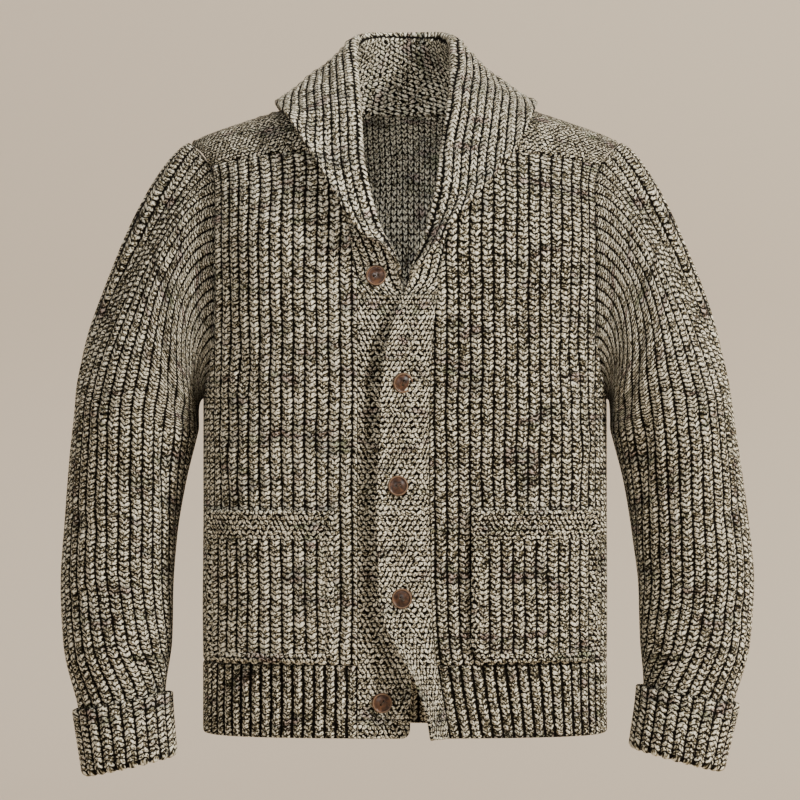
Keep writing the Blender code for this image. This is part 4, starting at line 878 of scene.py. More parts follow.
# crease lines on the back: u0, v0, u1, v1, half width, height
BACK_CREASES = (
    (-0.190, -0.245, -0.120, -0.190, 22 * MM, -3.5 * MM),
    (0.185, -0.260, 0.110, -0.205, 20 * MM, -3.0 * MM),
    (-0.215, -0.330, -0.150, -0.400, 26 * MM, 3.0 * MM),
    (0.210, -0.345, 0.155, -0.420, 24 * MM, 2.6 * MM),
    (-0.120, -0.470, 0.060, -0.490, 30 * MM, -2.6 * MM),
    (-0.060, -0.545, 0.150, -0.530, 24 * MM, -2.2 * MM),
    (-0.090, -0.120, -0.020, -0.260, 34 * MM, 2.2 * MM),
    (0.080, -0.100, 0.030, -0.290, 30 * MM, 1.8 * MM),
)
neck_corner = float(arc_at(NECK_CORNER_X, shoulder_top, BACK))
arm_back = armhole_arc(BACK)
side_columns = spaced(arm_back - neck_corner, FINE_COLUMN)
middle_columns = spaced(2 * neck_corner, FINE_COLUMN, rim=(0.0, 2.0 * MM))
side_share = (arm_back - neck_corner) / (2 * arm_back)
back_columns = np.unique(np.round(np.concatenate([
    side_columns * side_share, side_share + middle_columns * (1 - 2 * side_share),
    1 - side_share + side_columns * side_share]), 9))
back_rows = spaced(shoulder_top - HEM_TOP, FINE_ROW)
main_block = body_block(BACK, back_columns, back_rows, lambda v: -outer_arc(BACK, v),
                        lambda v: outer_arc(BACK, v), back_head, plain_u,
                        creases=BACK_CREASES, seed=2.0)
OVER_LENGTH = 0.09           # length that the rows over the shoulder are spaced for
RIDGE_PLAIN = 6 * MM         # ribs carry on this far past the ridge, then seed stitch
over_rows = spaced(OVER_LENGTH, FINE_ROW)


def shoulder_block(sign):
    """The back's carry-on over one shoulder, in seed stitch past the ridge."""
    def inner(v):
        return sign * neck_side_arc(v)

    def outer(v):
        return sign * (arm_back + 0.0 * v)

    left, right = (outer, inner) if sign < 0 else (inner, outer)
    return body_block(BACK, side_columns, over_rows, left, right, back_shoulder_head, plain_u,
                      foot=shoulder_top, seed=2.0,
                      moss_zone=lambda u, v: (v > shoulder_top + RIDGE_PLAIN).astype(float))


back = cloth_wall("back_knitted", [main_block, shoulder_block(-1), shoulder_block(1)], back_knit,
                  inside=inside_knit)
dressed(back, "back", area=0.385)

# %% [markdown]
# ## Fronts
# A front hangs from the shoulder seam.  Its inner edge follows the band and then the
# collar, its outer edge the side seam and the armhole.  The left front's lower ribs lean
# a little, because that edge swings open at the hem.

# %% Fronts
def front_edge(sign, rows):
    """The inner edge as a function from the rise to the arc distance."""
    heights = [HEM_BOTTOM, -0.614, HEM_TOP, -0.5635, -0.552, -0.507, -0.437, -0.353, -0.293, -0.257]
    points = []
    for z in [*heights, *reversed(NECK_HEIGHTS)]:
        x = edge_x(rows, z)
        rise = float(rise_of_height(z, x))
        points.append((rise, float(arc_at(x, rise, FRONT))))
    seam = SHOULDER_START + SHOULDER_ARC * float(seam_turn(SEAM_INNER))
    points.append((seam, sign * float(arc_of(SEAM_INNER, FRONT))))
    return lambda rise: table_curve(points, rise)[..., 0]


def front_head(arc):
    u = section_point(arc, FRONT)[0]
    return SHOULDER_START + SHOULDER_ARC * seam_turn(u) - SEAM_GAP


def seam_lean(arc, rise):
    """How far the left front's lower ribs lean towards its side."""
    lean = (edge_x(LEFT_EDGE, np.clip(rise, HEM_BOTTOM, -0.437)) - edge_x(LEFT_EDGE, -0.437))
    return lean * ease(1.0 - (arc - 0.02) / 0.130)


# the right front's first two rows are troughs under the collar's edge, for its shadow
FRONT_CREASES = {
    -1: ((-0.112, -0.056, -0.080, -0.106, 20 * MM, -5.0 * MM),
         (-0.086, -0.098, -0.050, -0.148, 20 * MM, -5.0 * MM),
         (-0.196, -0.215, -0.150, -0.330, 20 * MM, -3.4 * MM),
         (-0.215, -0.330, -0.170, -0.420, 18 * MM, 2.8 * MM),
         (-0.060, -0.250, -0.105, -0.360, 24 * MM, -2.4 * MM),
         (-0.070, -0.300, -0.180, -0.290, 26 * MM, 2.0 * MM),
         (-0.130, -0.110, -0.155, -0.200, 26 * MM, 2.4 * MM),
         (-0.062, -0.440, -0.068, -0.575, 14 * MM, -2.6 * MM)),
    1: ((0.200, -0.205, 0.160, -0.320, 20 * MM, -3.2 * MM),
        (0.216, -0.325, 0.175, -0.410, 18 * MM, 2.4 * MM),
        (0.045, -0.300, 0.110, -0.350, 24 * MM, -2.6 * MM),
        (0.120, -0.330, 0.190, -0.355, 26 * MM, 2.2 * MM),
        (0.120, -0.120, 0.150, -0.230, 28 * MM, 2.6 * MM),
        (0.058, -0.440, 0.050, -0.570, 14 * MM, -2.8 * MM),
        (0.050, -0.385, 0.130, -0.405, 18 * MM, -2.2 * MM)),
}
# width and length that a front's columns and rows are spaced for
FRONT_SPREAD = (QUARTER[FRONT] - 0.04, 0.57)


def front(name, sign, edge_rows, look):
    edge = front_edge(sign, edge_rows)

    def outer(v):
        return sign * outer_arc(FRONT, v)

    left, right = (outer, edge) if sign < 0 else (edge, outer)
    lean = (lambda u, v: u - seam_lean(u, v)) if sign > 0 else plain_u
    block = body_block(FRONT, spaced(FRONT_SPREAD[0], FINE_COLUMN),
                       spaced(FRONT_SPREAD[1], FINE_ROW), left, right,
                       front_head, lean, creases=FRONT_CREASES[sign], seed=4.0 + sign)
    return cloth_wall(name, [block], look)


right_front = front("right_front_knitted", -1, RIGHT_EDGE, right_knit)
left_front = front("left_front_knitted", 1, LEFT_EDGE, left_knit)
dressed(right_front, "right_front", area=0.105)
dressed(left_front, "left_front", area=0.112)

# %% [markdown]
# ## Hem ribbing
# The hem is knitted on a little tighter, with narrower and deeper ribs, and it is the
# same form as the panel above it.

# %% Hem ribbing
def hem_rib(name, node, side, start, end, flat, edge_rows=None):
    top = HEM_TOP - SEAM_GAP
    columns = spaced(abs(end - start), HEM_PITCH / 6)
    rows = spaced(top - HEM_BOTTOM, FINE_ROW)
    u = start + (end - start) * columns[None, :] + 0.0 * rows[:, None]
    v = HEM_BOTTOM + (top - HEM_BOTTOM) * rows[:, None] + 0.0 * u
    arc = u
    if edge_rows is not None:
        inner = arc_at(edge_x(edge_rows, v), v, side)
        arc = inner + (np.copysign(QUARTER[side], inner) - inner) * columns[None, :]
    place, out = torso(arc, v, side)
    pattern = wavering(u - start, v, 7.0)
    lift = rib_relief(pattern + HEM_PITCH / 2, HEM_PITCH) * 1.1
    block = (place, out, lift, np.stack([pattern + HEM_PITCH / 2, v], -1), np.zeros(u.shape))
    piece = cloth_wall(name, [block], hem_knit)
    dressed(piece, node, area=flat[0] * flat[1])


hem_rib("hem_rib_back_knitted", "hem_rib_back", BACK, -QUARTER[BACK], QUARTER[BACK], (0.53, 0.08))
hem_rib("hem_rib_right_knitted", "hem_rib_right", FRONT,
        float(arc_of(RIGHT_EDGE[0][1] / HALF_WIDTH, FRONT)), -QUARTER[FRONT], (0.22, 0.08), RIGHT_EDGE)
hem_rib("hem_rib_left_knitted", "hem_rib_left", FRONT,
        float(arc_of(LEFT_EDGE[0][1] / HALF_WIDTH, FRONT)), QUARTER[FRONT], (0.22, 0.08), LEFT_EDGE)

# %% [markdown]
# ## Button bands
# Both bands are long strips of seed stitch.  The left one lies on top, stands off the
# right one, and swings forward below the last button that is done up.

# %% Bands
# height, x of the free edge, how far the free edge stands off the body's form
LEFT_BAND = ((-0.668, 0.0190, 34 * MM), (-0.647, 0.0160, 29 * MM), (-0.614, 0.0070, 22 * MM),
             (-0.580, -0.0075, 15 * MM), (-0.552, -0.0205, 10 * MM), (-0.515, -0.0285, 7 * MM),
             (-0.465, -0.0290, 6.5 * MM), (-0.433, -0.0310, 6.5 * MM), (-0.353, -0.0275, 6.5 * MM),
             (-0.293, -0.0253, 6.5 * MM), (-0.257, -0.0200, 6.5 * MM), (-0.200, -0.0045, 6 * MM))
RIGHT_BAND = ((-0.668, 0.0050, 0.0), (-0.560, 0.0080, 0.0), (-0.450, 0.0120, 0.0),
              (-0.300, 0.0100, 0.0), (-0.200, 0.0010, 0.0))
LYING_STAND = 7 * MM
BAND_CORNER = 9 * MM
BAND_WIDTH = 0.056
BAND_CURL = 8.0 * MM         # how far the left band's free edge curls up, past the buttons
BAND_TROUGH = 8.0 * MM       # how far the right band sinks beside that edge
TROUGH_BESIDE = 6 * MM       # the trough's middle lies this far from the edge
TROUGH_HALF = 12 * MM


def band_place(share, z, seam_rows, free_rows):
    x0 = edge_x(seam_rows, z)
    free = table_curve(free_rows, z)
    x = x0 + (free[..., 0] - x0) * share
    stand = free[..., 1]
    rise = np.minimum(z, SHOULDER_START)
    base = torso_point(arc_at(x, rise, FRONT), rise, FRONT)
    lying = np.minimum(stand, LYING_STAND)
    off = lying * ease(share * 2.6) + (stand - lying) * np.maximum(share, 0.0) ** 1.6
    return np.stack([x, base[..., 1] - off, z + 0.0 * x], -1)


def band(name, node, seam_rows, free_rows, gap, seed):
    columns = spaced(BAND_WIDTH, 2.2 * MM)
    u = BAND_WIDTH * columns[None, :]
    top = BREAK - SEAM_GAP
    past = np.clip(u - (BAND_WIDTH - BAND_CORNER), 0.0, BAND_CORNER)
    foot = HEM_BOTTOM + BAND_CORNER - np.sqrt(BAND_CORNER ** 2 - past ** 2)
    rows = spaced(top - HEM_BOTTOM, 4.5 * MM)
    v = foot + (top - foot) * rows[:, None]
    share = columns[None, :] + 0.0 * v
    place = band_place(share, v, seam_rows, free_rows)
    step = 0.02
    across = (band_place(share + step, v, seam_rows, free_rows)
              - band_place(np.maximum(share - step, 0.0), v, seam_rows, free_rows))
    out = unit(np.stack([across[..., 1], -across[..., 0], 0.0 * v], -1))
    out *= np.where(out[..., 1] > 0.0, -1.0, 1.0)[..., None]
    first = torso(arc_at(place[:, 0, 0], v[:, 0], FRONT), v[:, 0], FRONT)[1]
    out[:, 0] = first
    place[:, 0, 0] -= gap
    lift = 0.5 * MM + 0.5 * MM * np.sin(v / 0.019 + seed) * np.sin(u / 0.011 + seed)
    low = ease((v - BREAK) / -0.05)
    if name.startswith("left"):
        shift = BAND_CURL * ease((share - 0.70) / 0.30) * low
    else:
        beside = place[..., 0] - edge_x([row[:2] for row in LEFT_BAND], v) + TROUGH_BESIDE
        shift = -BAND_TROUGH * (1.0 - ease(np.abs(beside) / TROUGH_HALF)) * low * ease(share * 5.0)
    block = (place + out * shift[..., None], out, lift, np.stack([u + 0.0 * v, v], -1),
             np.ones(v.shape))
    piece = cloth_wall(name, [block], band_knit, rim_share=0.8)
    dressed(piece, node, area=0.027)


band("right_band_knitted", "right_band", RIGHT_EDGE, RIGHT_BAND, -SEAM_GAP, 1.0)
band("left_band_knitted", "left_band", LEFT_EDGE, LEFT_BAND, SEAM_GAP, 2.0)

# %% [markdown]
# ## Pockets
# A patch pocket repeats the front's ribs, with a border of seed stitch along its mouth
# and rounded lower corners.  It is made from the front's own surface, moved out.

# %% Pockets
POCKET_TOP = -0.4270
POCKET_BOTTOM = -0.5880
POCKET_BORDER = 30 * MM
POCKET_CORNER = 20 * MM
POCKET_RIM = 8 * MM          # the sewn edge, thicker and in seed stitch
POCKET_OFFSET = WALL + RIB_LIFT + 2 * LAY_GAP


def pocket(name, node, low, high, look, seed):
    def foot(u):
        from_side = np.minimum(u - low, high - u)
        inside = np.clip(POCKET_CORNER - from_side, 0.0, POCKET_CORNER)
        return POCKET_BOTTOM + POCKET_CORNER - np.sqrt(POCKET_CORNER ** 2 - inside ** 2)

    def from_edge(u, v):
        """Distance from the pocket's outline, with its rounded lower corners."""
        across = np.minimum(u - low, high - u)
        corner = np.hypot(np.maximum(POCKET_CORNER - across, 0.0),
                          np.maximum(POCKET_BOTTOM + POCKET_CORNER - v, 0.0))
        straight = np.minimum(across, np.minimum(v - POCKET_BOTTOM, POCKET_TOP - v))
        in_corner = (across < POCKET_CORNER) & (v < POCKET_BOTTOM + POCKET_CORNER)
        return np.where(in_corner, POCKET_CORNER - corner, straight)

    place, out, lift, pattern, moss = body_block(
        FRONT, spaced(high - low, FINE_COLUMN), spaced(POCKET_TOP - POCKET_BOTTOM, 4 * MM),
        lambda v: low + 0.0 * v, lambda v: high + 0.0 * v, lambda u: POCKET_TOP + 0.0 * u,
        lambda u, v: u - low, foot=foot, seed=seed, offset=POCKET_OFFSET,
        moss_zone=lambda u, v: ((v > POCKET_TOP - POCKET_BORDER)
                                | (from_edge(u, v) < POCKET_RIM)).astype(float),
        swell_height=0.8 * MM)
    u, v = pattern[..., 0] + low, pattern[..., 1]
    edge = from_edge(u, v)
    ridge = 1.0 - ease(np.abs(edge - POCKET_RIM / 2) / (POCKET_RIM / 2))
    groove = 1.0 - ease(np.abs(edge - POCKET_RIM - 2 * MM) / (3 * MM))
    under_border = 1.0 - ease(np.abs(v - POCKET_TOP + POCKET_BORDER) / (4 * MM))
    lift = lift + 2.2 * MM * ridge - 1.6 * MM * np.maximum(groove, under_border)
    block = (place, out, lift, pattern, moss)
    piece = cloth_wall(name, [block], look, rim_share=0.9)
    dressed(piece, node,
            area=0.98 * (high - low) * (POCKET_TOP - POCKET_BOTTOM))


pocket("right_pocket_knitted", "right_pocket", -0.2220, -0.0745, right_knit, 8.0)
pocket("left_pocket_knitted", "left_pocket", 0.0690, 0.2110, left_knit, 9.0)

# %% [markdown]
# ## Sleeves
# A sleeve is one ribbed tube, sewn into the armhole.  Its lower part follows a row of
# tilted oval sections along the arm.  Its cap leaves the armhole square to the shoulder
# and runs smoothly into the first oval, as thick knitting does.

# %% Sleeve sections
# centre z, centre x, centre y, half width, half depth, tilt in degrees
RIGHT_SLEEVE = (
    (-0.330, -0.2890, 0.000, 0.0640, 0.0720, 12.7), (-0.390, -0.3000, 0.000, 0.0606, 0.0650, 11.6),
    (-0.450, -0.3068, -0.002, 0.0578, 0.0590, 9.0), (-0.510, -0.3100, -0.008, 0.0568, 0.0540, 5.0),
    (-0.570, -0.3080, -0.017, 0.0540, 0.0480, -2.0), (-0.637, -0.3030, -0.027, 0.0430, 0.0350, -11.0),
    (-0.697, -0.2955, -0.036, 0.0405, 0.0340, -13.0))
LEFT_SLEEVE = (
    (-0.330, 0.2870, 0.000, 0.0630, 0.0720, 12.7), (-0.390, 0.2990, 0.000, 0.0600, 0.0650, 11.6),
    (-0.450, 0.3075, -0.002, 0.0590, 0.0590, 9.0), (-0.510, 0.3130, -0.008, 0.0578, 0.0540, 5.0),
    (-0.570, 0.3110, -0.017, 0.0545, 0.0480, -2.0), (-0.632, 0.3030, -0.027, 0.0445, 0.0360, -11.0),
    (-0.690, 0.2915, -0.036, 0.0415, 0.0345, -15.0))
CAP_HEIGHT = 0.300
CAP_PUSH, CAP_PUSH_ARMPIT = 0.150, 0.060     # how strongly the cap sets off from the seam
CAP_PULL, CAP_PULL_ARMPIT = 0.210, 0.030     # how strongly it runs into the biceps
ARMPIT_EASE = 2.0 * MM
RING_ANGLES = np.linspace(0.0, math.pi, 361)


def ring(table, height, share, offset=0.0):
    """Places round a sleeve at a height, and the directions out; share is -0.5 to 0.5."""
    cx, cy, half_width, half_depth, tilt = table_curve(table, height)
    sign = math.copysign(1.0, table[0][1])
    lean = math.radians(tilt)
    across = np.array([sign * math.cos(lean), 0.0, math.sin(lean)])
    steps = np.hypot(half_width * np.sin(RING_ANGLES), half_depth * np.cos(RING_ANGLES))
    total = np.concatenate([[0.0], np.cumsum((steps[1:] + steps[:-1]) / 2)])
    angle = np.interp(np.minimum(1.0, np.abs(share) * 2) * total[-1], total, RING_ANGLES)[:, None]
    facing = np.stack([0.0 * share, -np.where(share < 0.0, -1.0, 1.0), 0.0 * share], -1)
    point = (np.array([cx, cy, height]) + across * (half_width * np.cos(angle))
             + facing * (half_depth * np.sin(angle)))
    out = unit(across * (np.cos(angle) / half_width) + facing * (np.sin(angle) / half_depth))
    return point + out * offset, out


def armhole_half(sign, facing):
    """Half of the armhole's edge, from the ridge down: lengths, places, out, across."""
    side = FRONT if facing > 0 else BACK
    arm = armhole_arc(side)
    angles = np.linspace(0.0, math.pi / 2, 17)[1:]
    run = [(arm + (QUARTER[side] - arm) * (1.0 - math.cos(a)),
            ARMHOLE_TURN + (ARMPIT - ARMHOLE_TURN) * math.sin(a), side) for a in angles]
    if facing > 0:
        seam = float(seam_turn(ARMHOLE_U))
        samples = [(armhole_arc(BACK), SHOULDER_START + SHOULDER_ARC * share, BACK)
                   for share in np.linspace(1.0, 2.0 - seam, 8)]
        low_start = SHOULDER_START + SHOULDER_ARC * seam
        samples += [(arm, rise, FRONT) for rise in np.linspace(low_start, ARMHOLE_TURN, 26)[1:]]
    else:
        samples = [(arm, rise, BACK) for rise in np.linspace(shoulder_top, ARMHOLE_TURN, 34)]
    samples += run
    points, outs = [], []
    for u, v, where in samples:
        point, out = torso(sign * u, v, where)
        points.append(point)
        outs.append(out)
    points, outs = np.array(points), unit(np.array(outs))
    points[-1, 1] = 0.0
    along = np.gradient(points, axis=0)
    along[0] = (0.0, -facing, 0.0)
    along[-1] = (0.0, facing, 0.0)
    across = unit(np.cross(unit(along), outs))
    for k in range(len(across)):
        before = np.array([sign, 0.0, 0.0]) if k == 0 else across[k - 1]
        if np.dot(across[k], before) < 0.0:
            across[k] *= -1.0
    lengths = np.concatenate([[0.0], np.cumsum(np.linalg.norm(np.diff(points, axis=0), axis=1))])
    return lengths, points, outs, across


def hermite(start, leave, end, arrive, t):
    t = np.asarray(t)[..., None]
    return (start * (2 * t ** 3 - 3 * t ** 2 + 1) + leave * (t ** 3 - 2 * t ** 2 + t)
            + end * (3 * t ** 2 - 2 * t ** 3) + arrive * (t ** 3 - t ** 2))


class Sleeve:
    """The form of one sleeve, a row of places at a time."""

    def __init__(self, sign, table):
        self.sign = sign
        self.table = table
        self.halves = {facing: armhole_half(sign, facing) for facing in (1, -1)}
        self.biceps = table[0][0]
        self.top = self.biceps + CAP_HEIGHT

    def start(self, share):
        """Where the cloth leaves the armhole, its direction out and its heading."""
        both = []
        for lengths, *columns in (self.halves[1], self.halves[-1]):
            at = np.abs(share) * 2 * lengths[-1]
            both.append([np.stack([np.interp(at, lengths, column[:, k]) for k in range(3)], -1)
                         for column in columns])
        is_front = (share >= 0.0)[:, None]
        point, out, across = (np.where(is_front, a, b) for a, b in zip(*both))
        out = unit(out)
        across = unit(across - out * (across * out).sum(-1, keepdims=True))
        lift = (math.radians(90) * np.minimum(1.0, np.abs(share) * 2) ** 0.7)[:, None]
        heading = across * np.cos(lift) + out * np.sin(lift)
        facing = out * np.cos(lift) - across * np.sin(lift)
        base = point + across * (SEAM_GAP + (WALL + ARMPIT_EASE) * np.sin(lift))
        return base, facing, heading

    def row(self, share, height):
        if height <= self.biceps:
            return ring(self.table, height, share)[0]
        s = (self.top - height) / CAP_HEIGHT
        base, _, heading = self.start(share)
        end = ring(self.table, self.biceps, share)[0]
        down = unit(ring(self.table, self.biceps - 5 * MM, share)[0] - end)
        low = ease((np.abs(share) - 0.22) / 0.28)[:, None]
        push = CAP_PUSH + (CAP_PUSH_ARMPIT - CAP_PUSH) * low
        pull = CAP_PULL + (CAP_PULL_ARMPIT - CAP_PULL) * low
        return hermite(base, heading * push, end, down * pull, np.full(len(share), s))


# %% [markdown]
# Creases gather where an arm would bend: at the inside of the elbow, under the arm, and
# as long soft folds down from the armhole.  The ones in front follow the photograph, and
# the ones behind are of the same kind.

# %% Sleeve pieces
SLEEVE_END = {sign: table[-1][0] + 44 * MM + SEAM_GAP
              for sign, table in ((-1, RIGHT_SLEEVE), (1, LEFT_SLEEVE))}
SLEEVE_RIBS = 34             # columns are spaced for this many ribs round the arm
# u0, v0, u1, v1, half width, height; u runs from the outer line to the front
SLEEVE_CREASES = {
    -1: ((0.105, -0.120, 0.165, -0.300, 15 * MM, -5.5 * MM),
         (0.135, -0.300, 0.150, -0.420, 16 * MM, -4.5 * MM),
         (0.060, -0.330, 0.140, -0.395, 17 * MM, 3.0 * MM),
         (0.020, -0.440, 0.120, -0.470, 16 * MM, -2.6 * MM),
         (0.030, -0.530, 0.110, -0.510, 15 * MM, -2.4 * MM),
         (0.070, -0.570, 0.150, -0.585, 13 * MM, -2.6 * MM),
         (0.075, -0.060, 0.100, -0.200, 18 * MM, 2.6 * MM),
         (-0.020, -0.200, 0.030, -0.330, 26 * MM, 2.4 * MM),
         (-0.150, -0.150, -0.170, -0.310, 16 * MM, -4.5 * MM),
         (-0.050, -0.430, -0.150, -0.470, 18 * MM, 3.0 * MM),
         (-0.040, -0.500, -0.140, -0.530, 16 * MM, -3.0 * MM),
         (-0.090, -0.340, -0.150, -0.380, 20 * MM, -2.5 * MM)),
    1: ((0.110, -0.110, 0.168, -0.290, 15 * MM, -5.0 * MM),
        (0.130, -0.290, 0.152, -0.410, 16 * MM, -5.0 * MM),
        (0.055, -0.350, 0.135, -0.380, 17 * MM, 2.6 * MM),
        (0.030, -0.430, 0.125, -0.455, 16 * MM, -2.4 * MM),
        (0.020, -0.545, 0.115, -0.520, 15 * MM, -2.8 * MM),
        (0.060, -0.585, 0.150, -0.570, 13 * MM, -2.2 * MM),
        (0.070, -0.070, 0.105, -0.190, 18 * MM, 2.8 * MM),
        (-0.015, -0.180, 0.025, -0.310, 26 * MM, 2.2 * MM),
        (-0.145, -0.140, -0.172, -0.300, 16 * MM, -4.2 * MM),
        (-0.060, -0.420, -0.145, -0.455, 18 * MM, 2.8 * MM),
        (-0.030, -0.490, -0.150, -0.515, 16 * MM, -3.2 * MM),
        (-0.080, -0.330, -0.155, -0.365, 20 * MM, -2.2 * MM)),
}


def sleeve(name, node, form):
    end = SLEEVE_END[int(form.sign)]
    heights = end + (form.top - end) * spaced(form.top - end, FINE_ROW)
    share = np.linspace(-0.5, 0.5, 6 * SLEEVE_RIBS + 1)
    rows = np.array([form.row(share, height) for height in heights])
    halves = np.linalg.norm(np.diff(rows, axis=1), axis=2).sum(1) / 2
    out = grid_normals(rows, closed=True)
    centre = rows.mean(1, keepdims=True)
    middle = len(rows) // 3
    if np.dot(out[middle, len(share) // 2], (rows - centre)[middle, len(share) // 2]) < 0.0:
        out = -out
    out[-1] = form.start(share)[1]
    out[-1, 0] = out[-1, -1] = unit(out[-1, 0] + out[-1, -1])
    rows[:, 0] = rows[:, -1] = (rows[:, 0] + rows[:, -1]) / 2
    u = 2.0 * share[None, :] * halves[:, None]
    v = heights[:, None] + 0.0 * u
    calm = (ease((0.5 - np.abs(share)) * 14.0)[None, :] * ease((form.top - v) / 0.05)
            * ease((v - end - 0.02) / 0.05))
    relief = (creased(u, v, SLEEVE_CREASES[int(form.sign)])
              + swell(u, v, 5.0 + form.sign, 1.4 * MM)) * calm
    pattern = wavering(u, v, 10.0 + form.sign)
    near_seam = ease((np.abs(share)[None, :] * 2 - 0.80) / 0.16)
    lift = rib_relief(pattern, RIB_PITCH)
    lift = lift + (0.3 * MM - lift) * near_seam
    block = (rows + out * relief[..., None], out, lift, np.stack([pattern, v], -1),
             np.zeros(u.shape))
    piece = cloth_wall(name, [block], sleeve_knit)
    dressed(piece, node, area=0.235)


right_form = Sleeve(-1, RIGHT_SLEEVE)
left_form = Sleeve(1, LEFT_SLEEVE)
sleeve("right_sleeve_knitted", "right_sleeve", right_form)
sleeve("left_sleeve_knitted", "left_sleeve", left_form)

# %% [markdown]
# ## Cuffs
# The cuff carries on from the sleeve, runs down, and is folded back up outside, so it is
# thick and stands off.  Its ribs follow the fold.

# %% Cuffs
CUFF_HEIGHT = 64 * MM
CUFF_INSIDE = 44 * MM
CUFF_LAYER = 7.0 * MM
CUFF_BEND = (CUFF_LAYER - WALL) / 2


def cuff(name, node, form):
    low = form.table[-1][0]
    butt = low + CUFF_INSIDE - SEAM_GAP
    inside = butt - low
    bend_length = math.pi * CUFF_BEND
    total = inside + bend_length + CUFF_HEIGHT
    levels = np.unique(np.concatenate([
        inside * spaced(inside, 6 * MM), inside + bend_length * np.linspace(0, 1, 9),
        inside + bend_length + CUFF_HEIGHT * spaced(CUFF_HEIGHT, 5 * MM)]))
    across = ring(form.table, low, np.array([0.0, 0.25]))[1][0]
    down = np.cross(across, (0.0, 1.0, 0.0))
    down = down if down[2] < 0.0 else -down
    girth = 2 * math.pi * 0.5 * sum(table_curve(form.table, low)[2:4]) + 2 * math.pi * CUFF_LAYER
    ribs = round(girth / RIB_PITCH)
    share = np.linspace(-0.5, 0.5, 6 * ribs + 1)
    places, outs = [], []
    for v in levels:
        if v <= inside:
            point, out = ring(form.table, butt - v, share, WALL)
            out = -out
        elif v >= inside + bend_length:
            point, out = ring(form.table, low + (v - inside - bend_length), share, CUFF_LAYER)
        else:
            angle = (v - inside) / CUFF_BEND
            point, ring_out = ring(form.table, low, share, WALL + CUFF_BEND * (1 - math.cos(angle)))
            out = down * math.sin(angle) - ring_out * math.cos(angle)
            point = point + down * (CUFF_BEND * math.sin(angle))
        places.append(point)
        outs.append(unit(out))
    places, outs = np.array(places), np.array(outs)
    places[:, 0] = places[:, -1] = (places[:, 0] + places[:, -1]) / 2
    outs[:, 0] = outs[:, -1] = unit(outs[:, 0] + outs[:, -1])
    u = share[None, :] * ribs * RIB_PITCH + 0.0 * levels[:, None]
    v = levels[:, None] + 0.0 * u
    shown = ease((v - inside) / bend_length)
    waver = wavering(u, v, 13.0) - u
    pattern = u + waver * ease((0.5 - np.abs(share)) * 14.0)[None, :]
    lift = rib_relief(pattern, RIB_PITCH) * (0.35 + 0.75 * shown)
    block = (places, outs, lift, np.stack([pattern, -v], -1), np.zeros(u.shape))
    piece = cloth_wall(name, [block], sleeve_knit)
    dressed(piece, node, area=0.28 * total)


cuff("right_cuff_knitted", "right_cuff", right_form)
cuff("left_cuff_knitted", "left_cuff", left_form)

# %% [markdown]
# ## Shawl collar
# The collar is one long strip, sewn round the neck edge.  From the seam a stand rises,
# rolls over softly, and falls outside on fronts, shoulders and back.  Its ribs run along
# it.  A few stations give where the roll and the free edge lie, and the section between
# them is worked out: stand, round roll, fall.

# %% Collar stations
# share of the way round the neck edge, fold x, y, z, free edge x, y, z, turn of the roll
# and rise of the stand, in degrees
RIGHT_COLLAR = (
    (0.000, 0.0010, -0.1172, -0.2000, 0.0010, -0.1222, -0.2000, 0, 0),
    (0.040, -0.0045, -0.1225, -0.1820, -0.0078, -0.1272, -0.1830, 60, 0),
    (0.092, -0.0120, -0.1262, -0.1600, -0.0260, -0.1335, -0.1590, 140, 0),
    (0.174, -0.0270, -0.1242, -0.1250, -0.0500, -0.1325, -0.1370, 168, 0),
    (0.275, -0.0380, -0.1158, -0.0850, -0.0749, -0.1215, -0.0966, 174, 0),
    (0.370, -0.0440, -0.0960, -0.0450, -0.1006, -0.1010, -0.0536, 176, 2),
    (0.490, -0.0465, -0.0670, 0.0040, -0.1280, -0.0600, -0.0100, 176, 10),
    (0.655, -0.0505, -0.0120, 0.0560, -0.1385, -0.0170, 0.0055, 176, 28),
    (0.760, -0.0515, 0.0280, 0.0840, -0.1340, 0.0380, 0.0010, 176, 50),
    (0.865, -0.0340, 0.0600, 0.0915, -0.0900, 0.0880, -0.0180, 176, 58),
    (1.000, 0.0000, 0.0730, 0.0925, 0.0000, 0.1040, -0.0260, 176, 56))
LEFT_COLLAR = (
    (0.000, -0.0045, -0.1232, -0.2000, -0.0045, -0.1282, -0.2000, 0, 0),
    (0.040, 0.0035, -0.1268, -0.1820, 0.0115, -0.1318, -0.1825, 60, 0),
    (0.092, 0.0130, -0.1285, -0.1600, 0.0305, -0.1365, -0.1645, 140, 0),
    (0.174, 0.0235, -0.1250, -0.1250, 0.0505, -0.1330, -0.1320, 168, 0),
    (0.275, 0.0320, -0.1158, -0.0850, 0.0793, -0.1205, -0.0948, 174, 0),
    (0.370, 0.0370, -0.0960, -0.0450, 0.1139, -0.0980, -0.0543, 176, 2),
    (0.490, 0.0445, -0.0670, 0.0040, 0.1363, -0.0570, -0.0093, 176, 10),
    (0.655, 0.0490, -0.0120, 0.0560, 0.1410, -0.0170, 0.0055, 176, 28),
    (0.760, 0.0495, 0.0280, 0.0840, 0.1355, 0.0380, 0.0010, 176, 50),
    (0.865, 0.0340, 0.0600, 0.0915, 0.0900, 0.0880, -0.0180, 176, 58))
ROLL = 4.5 * MM


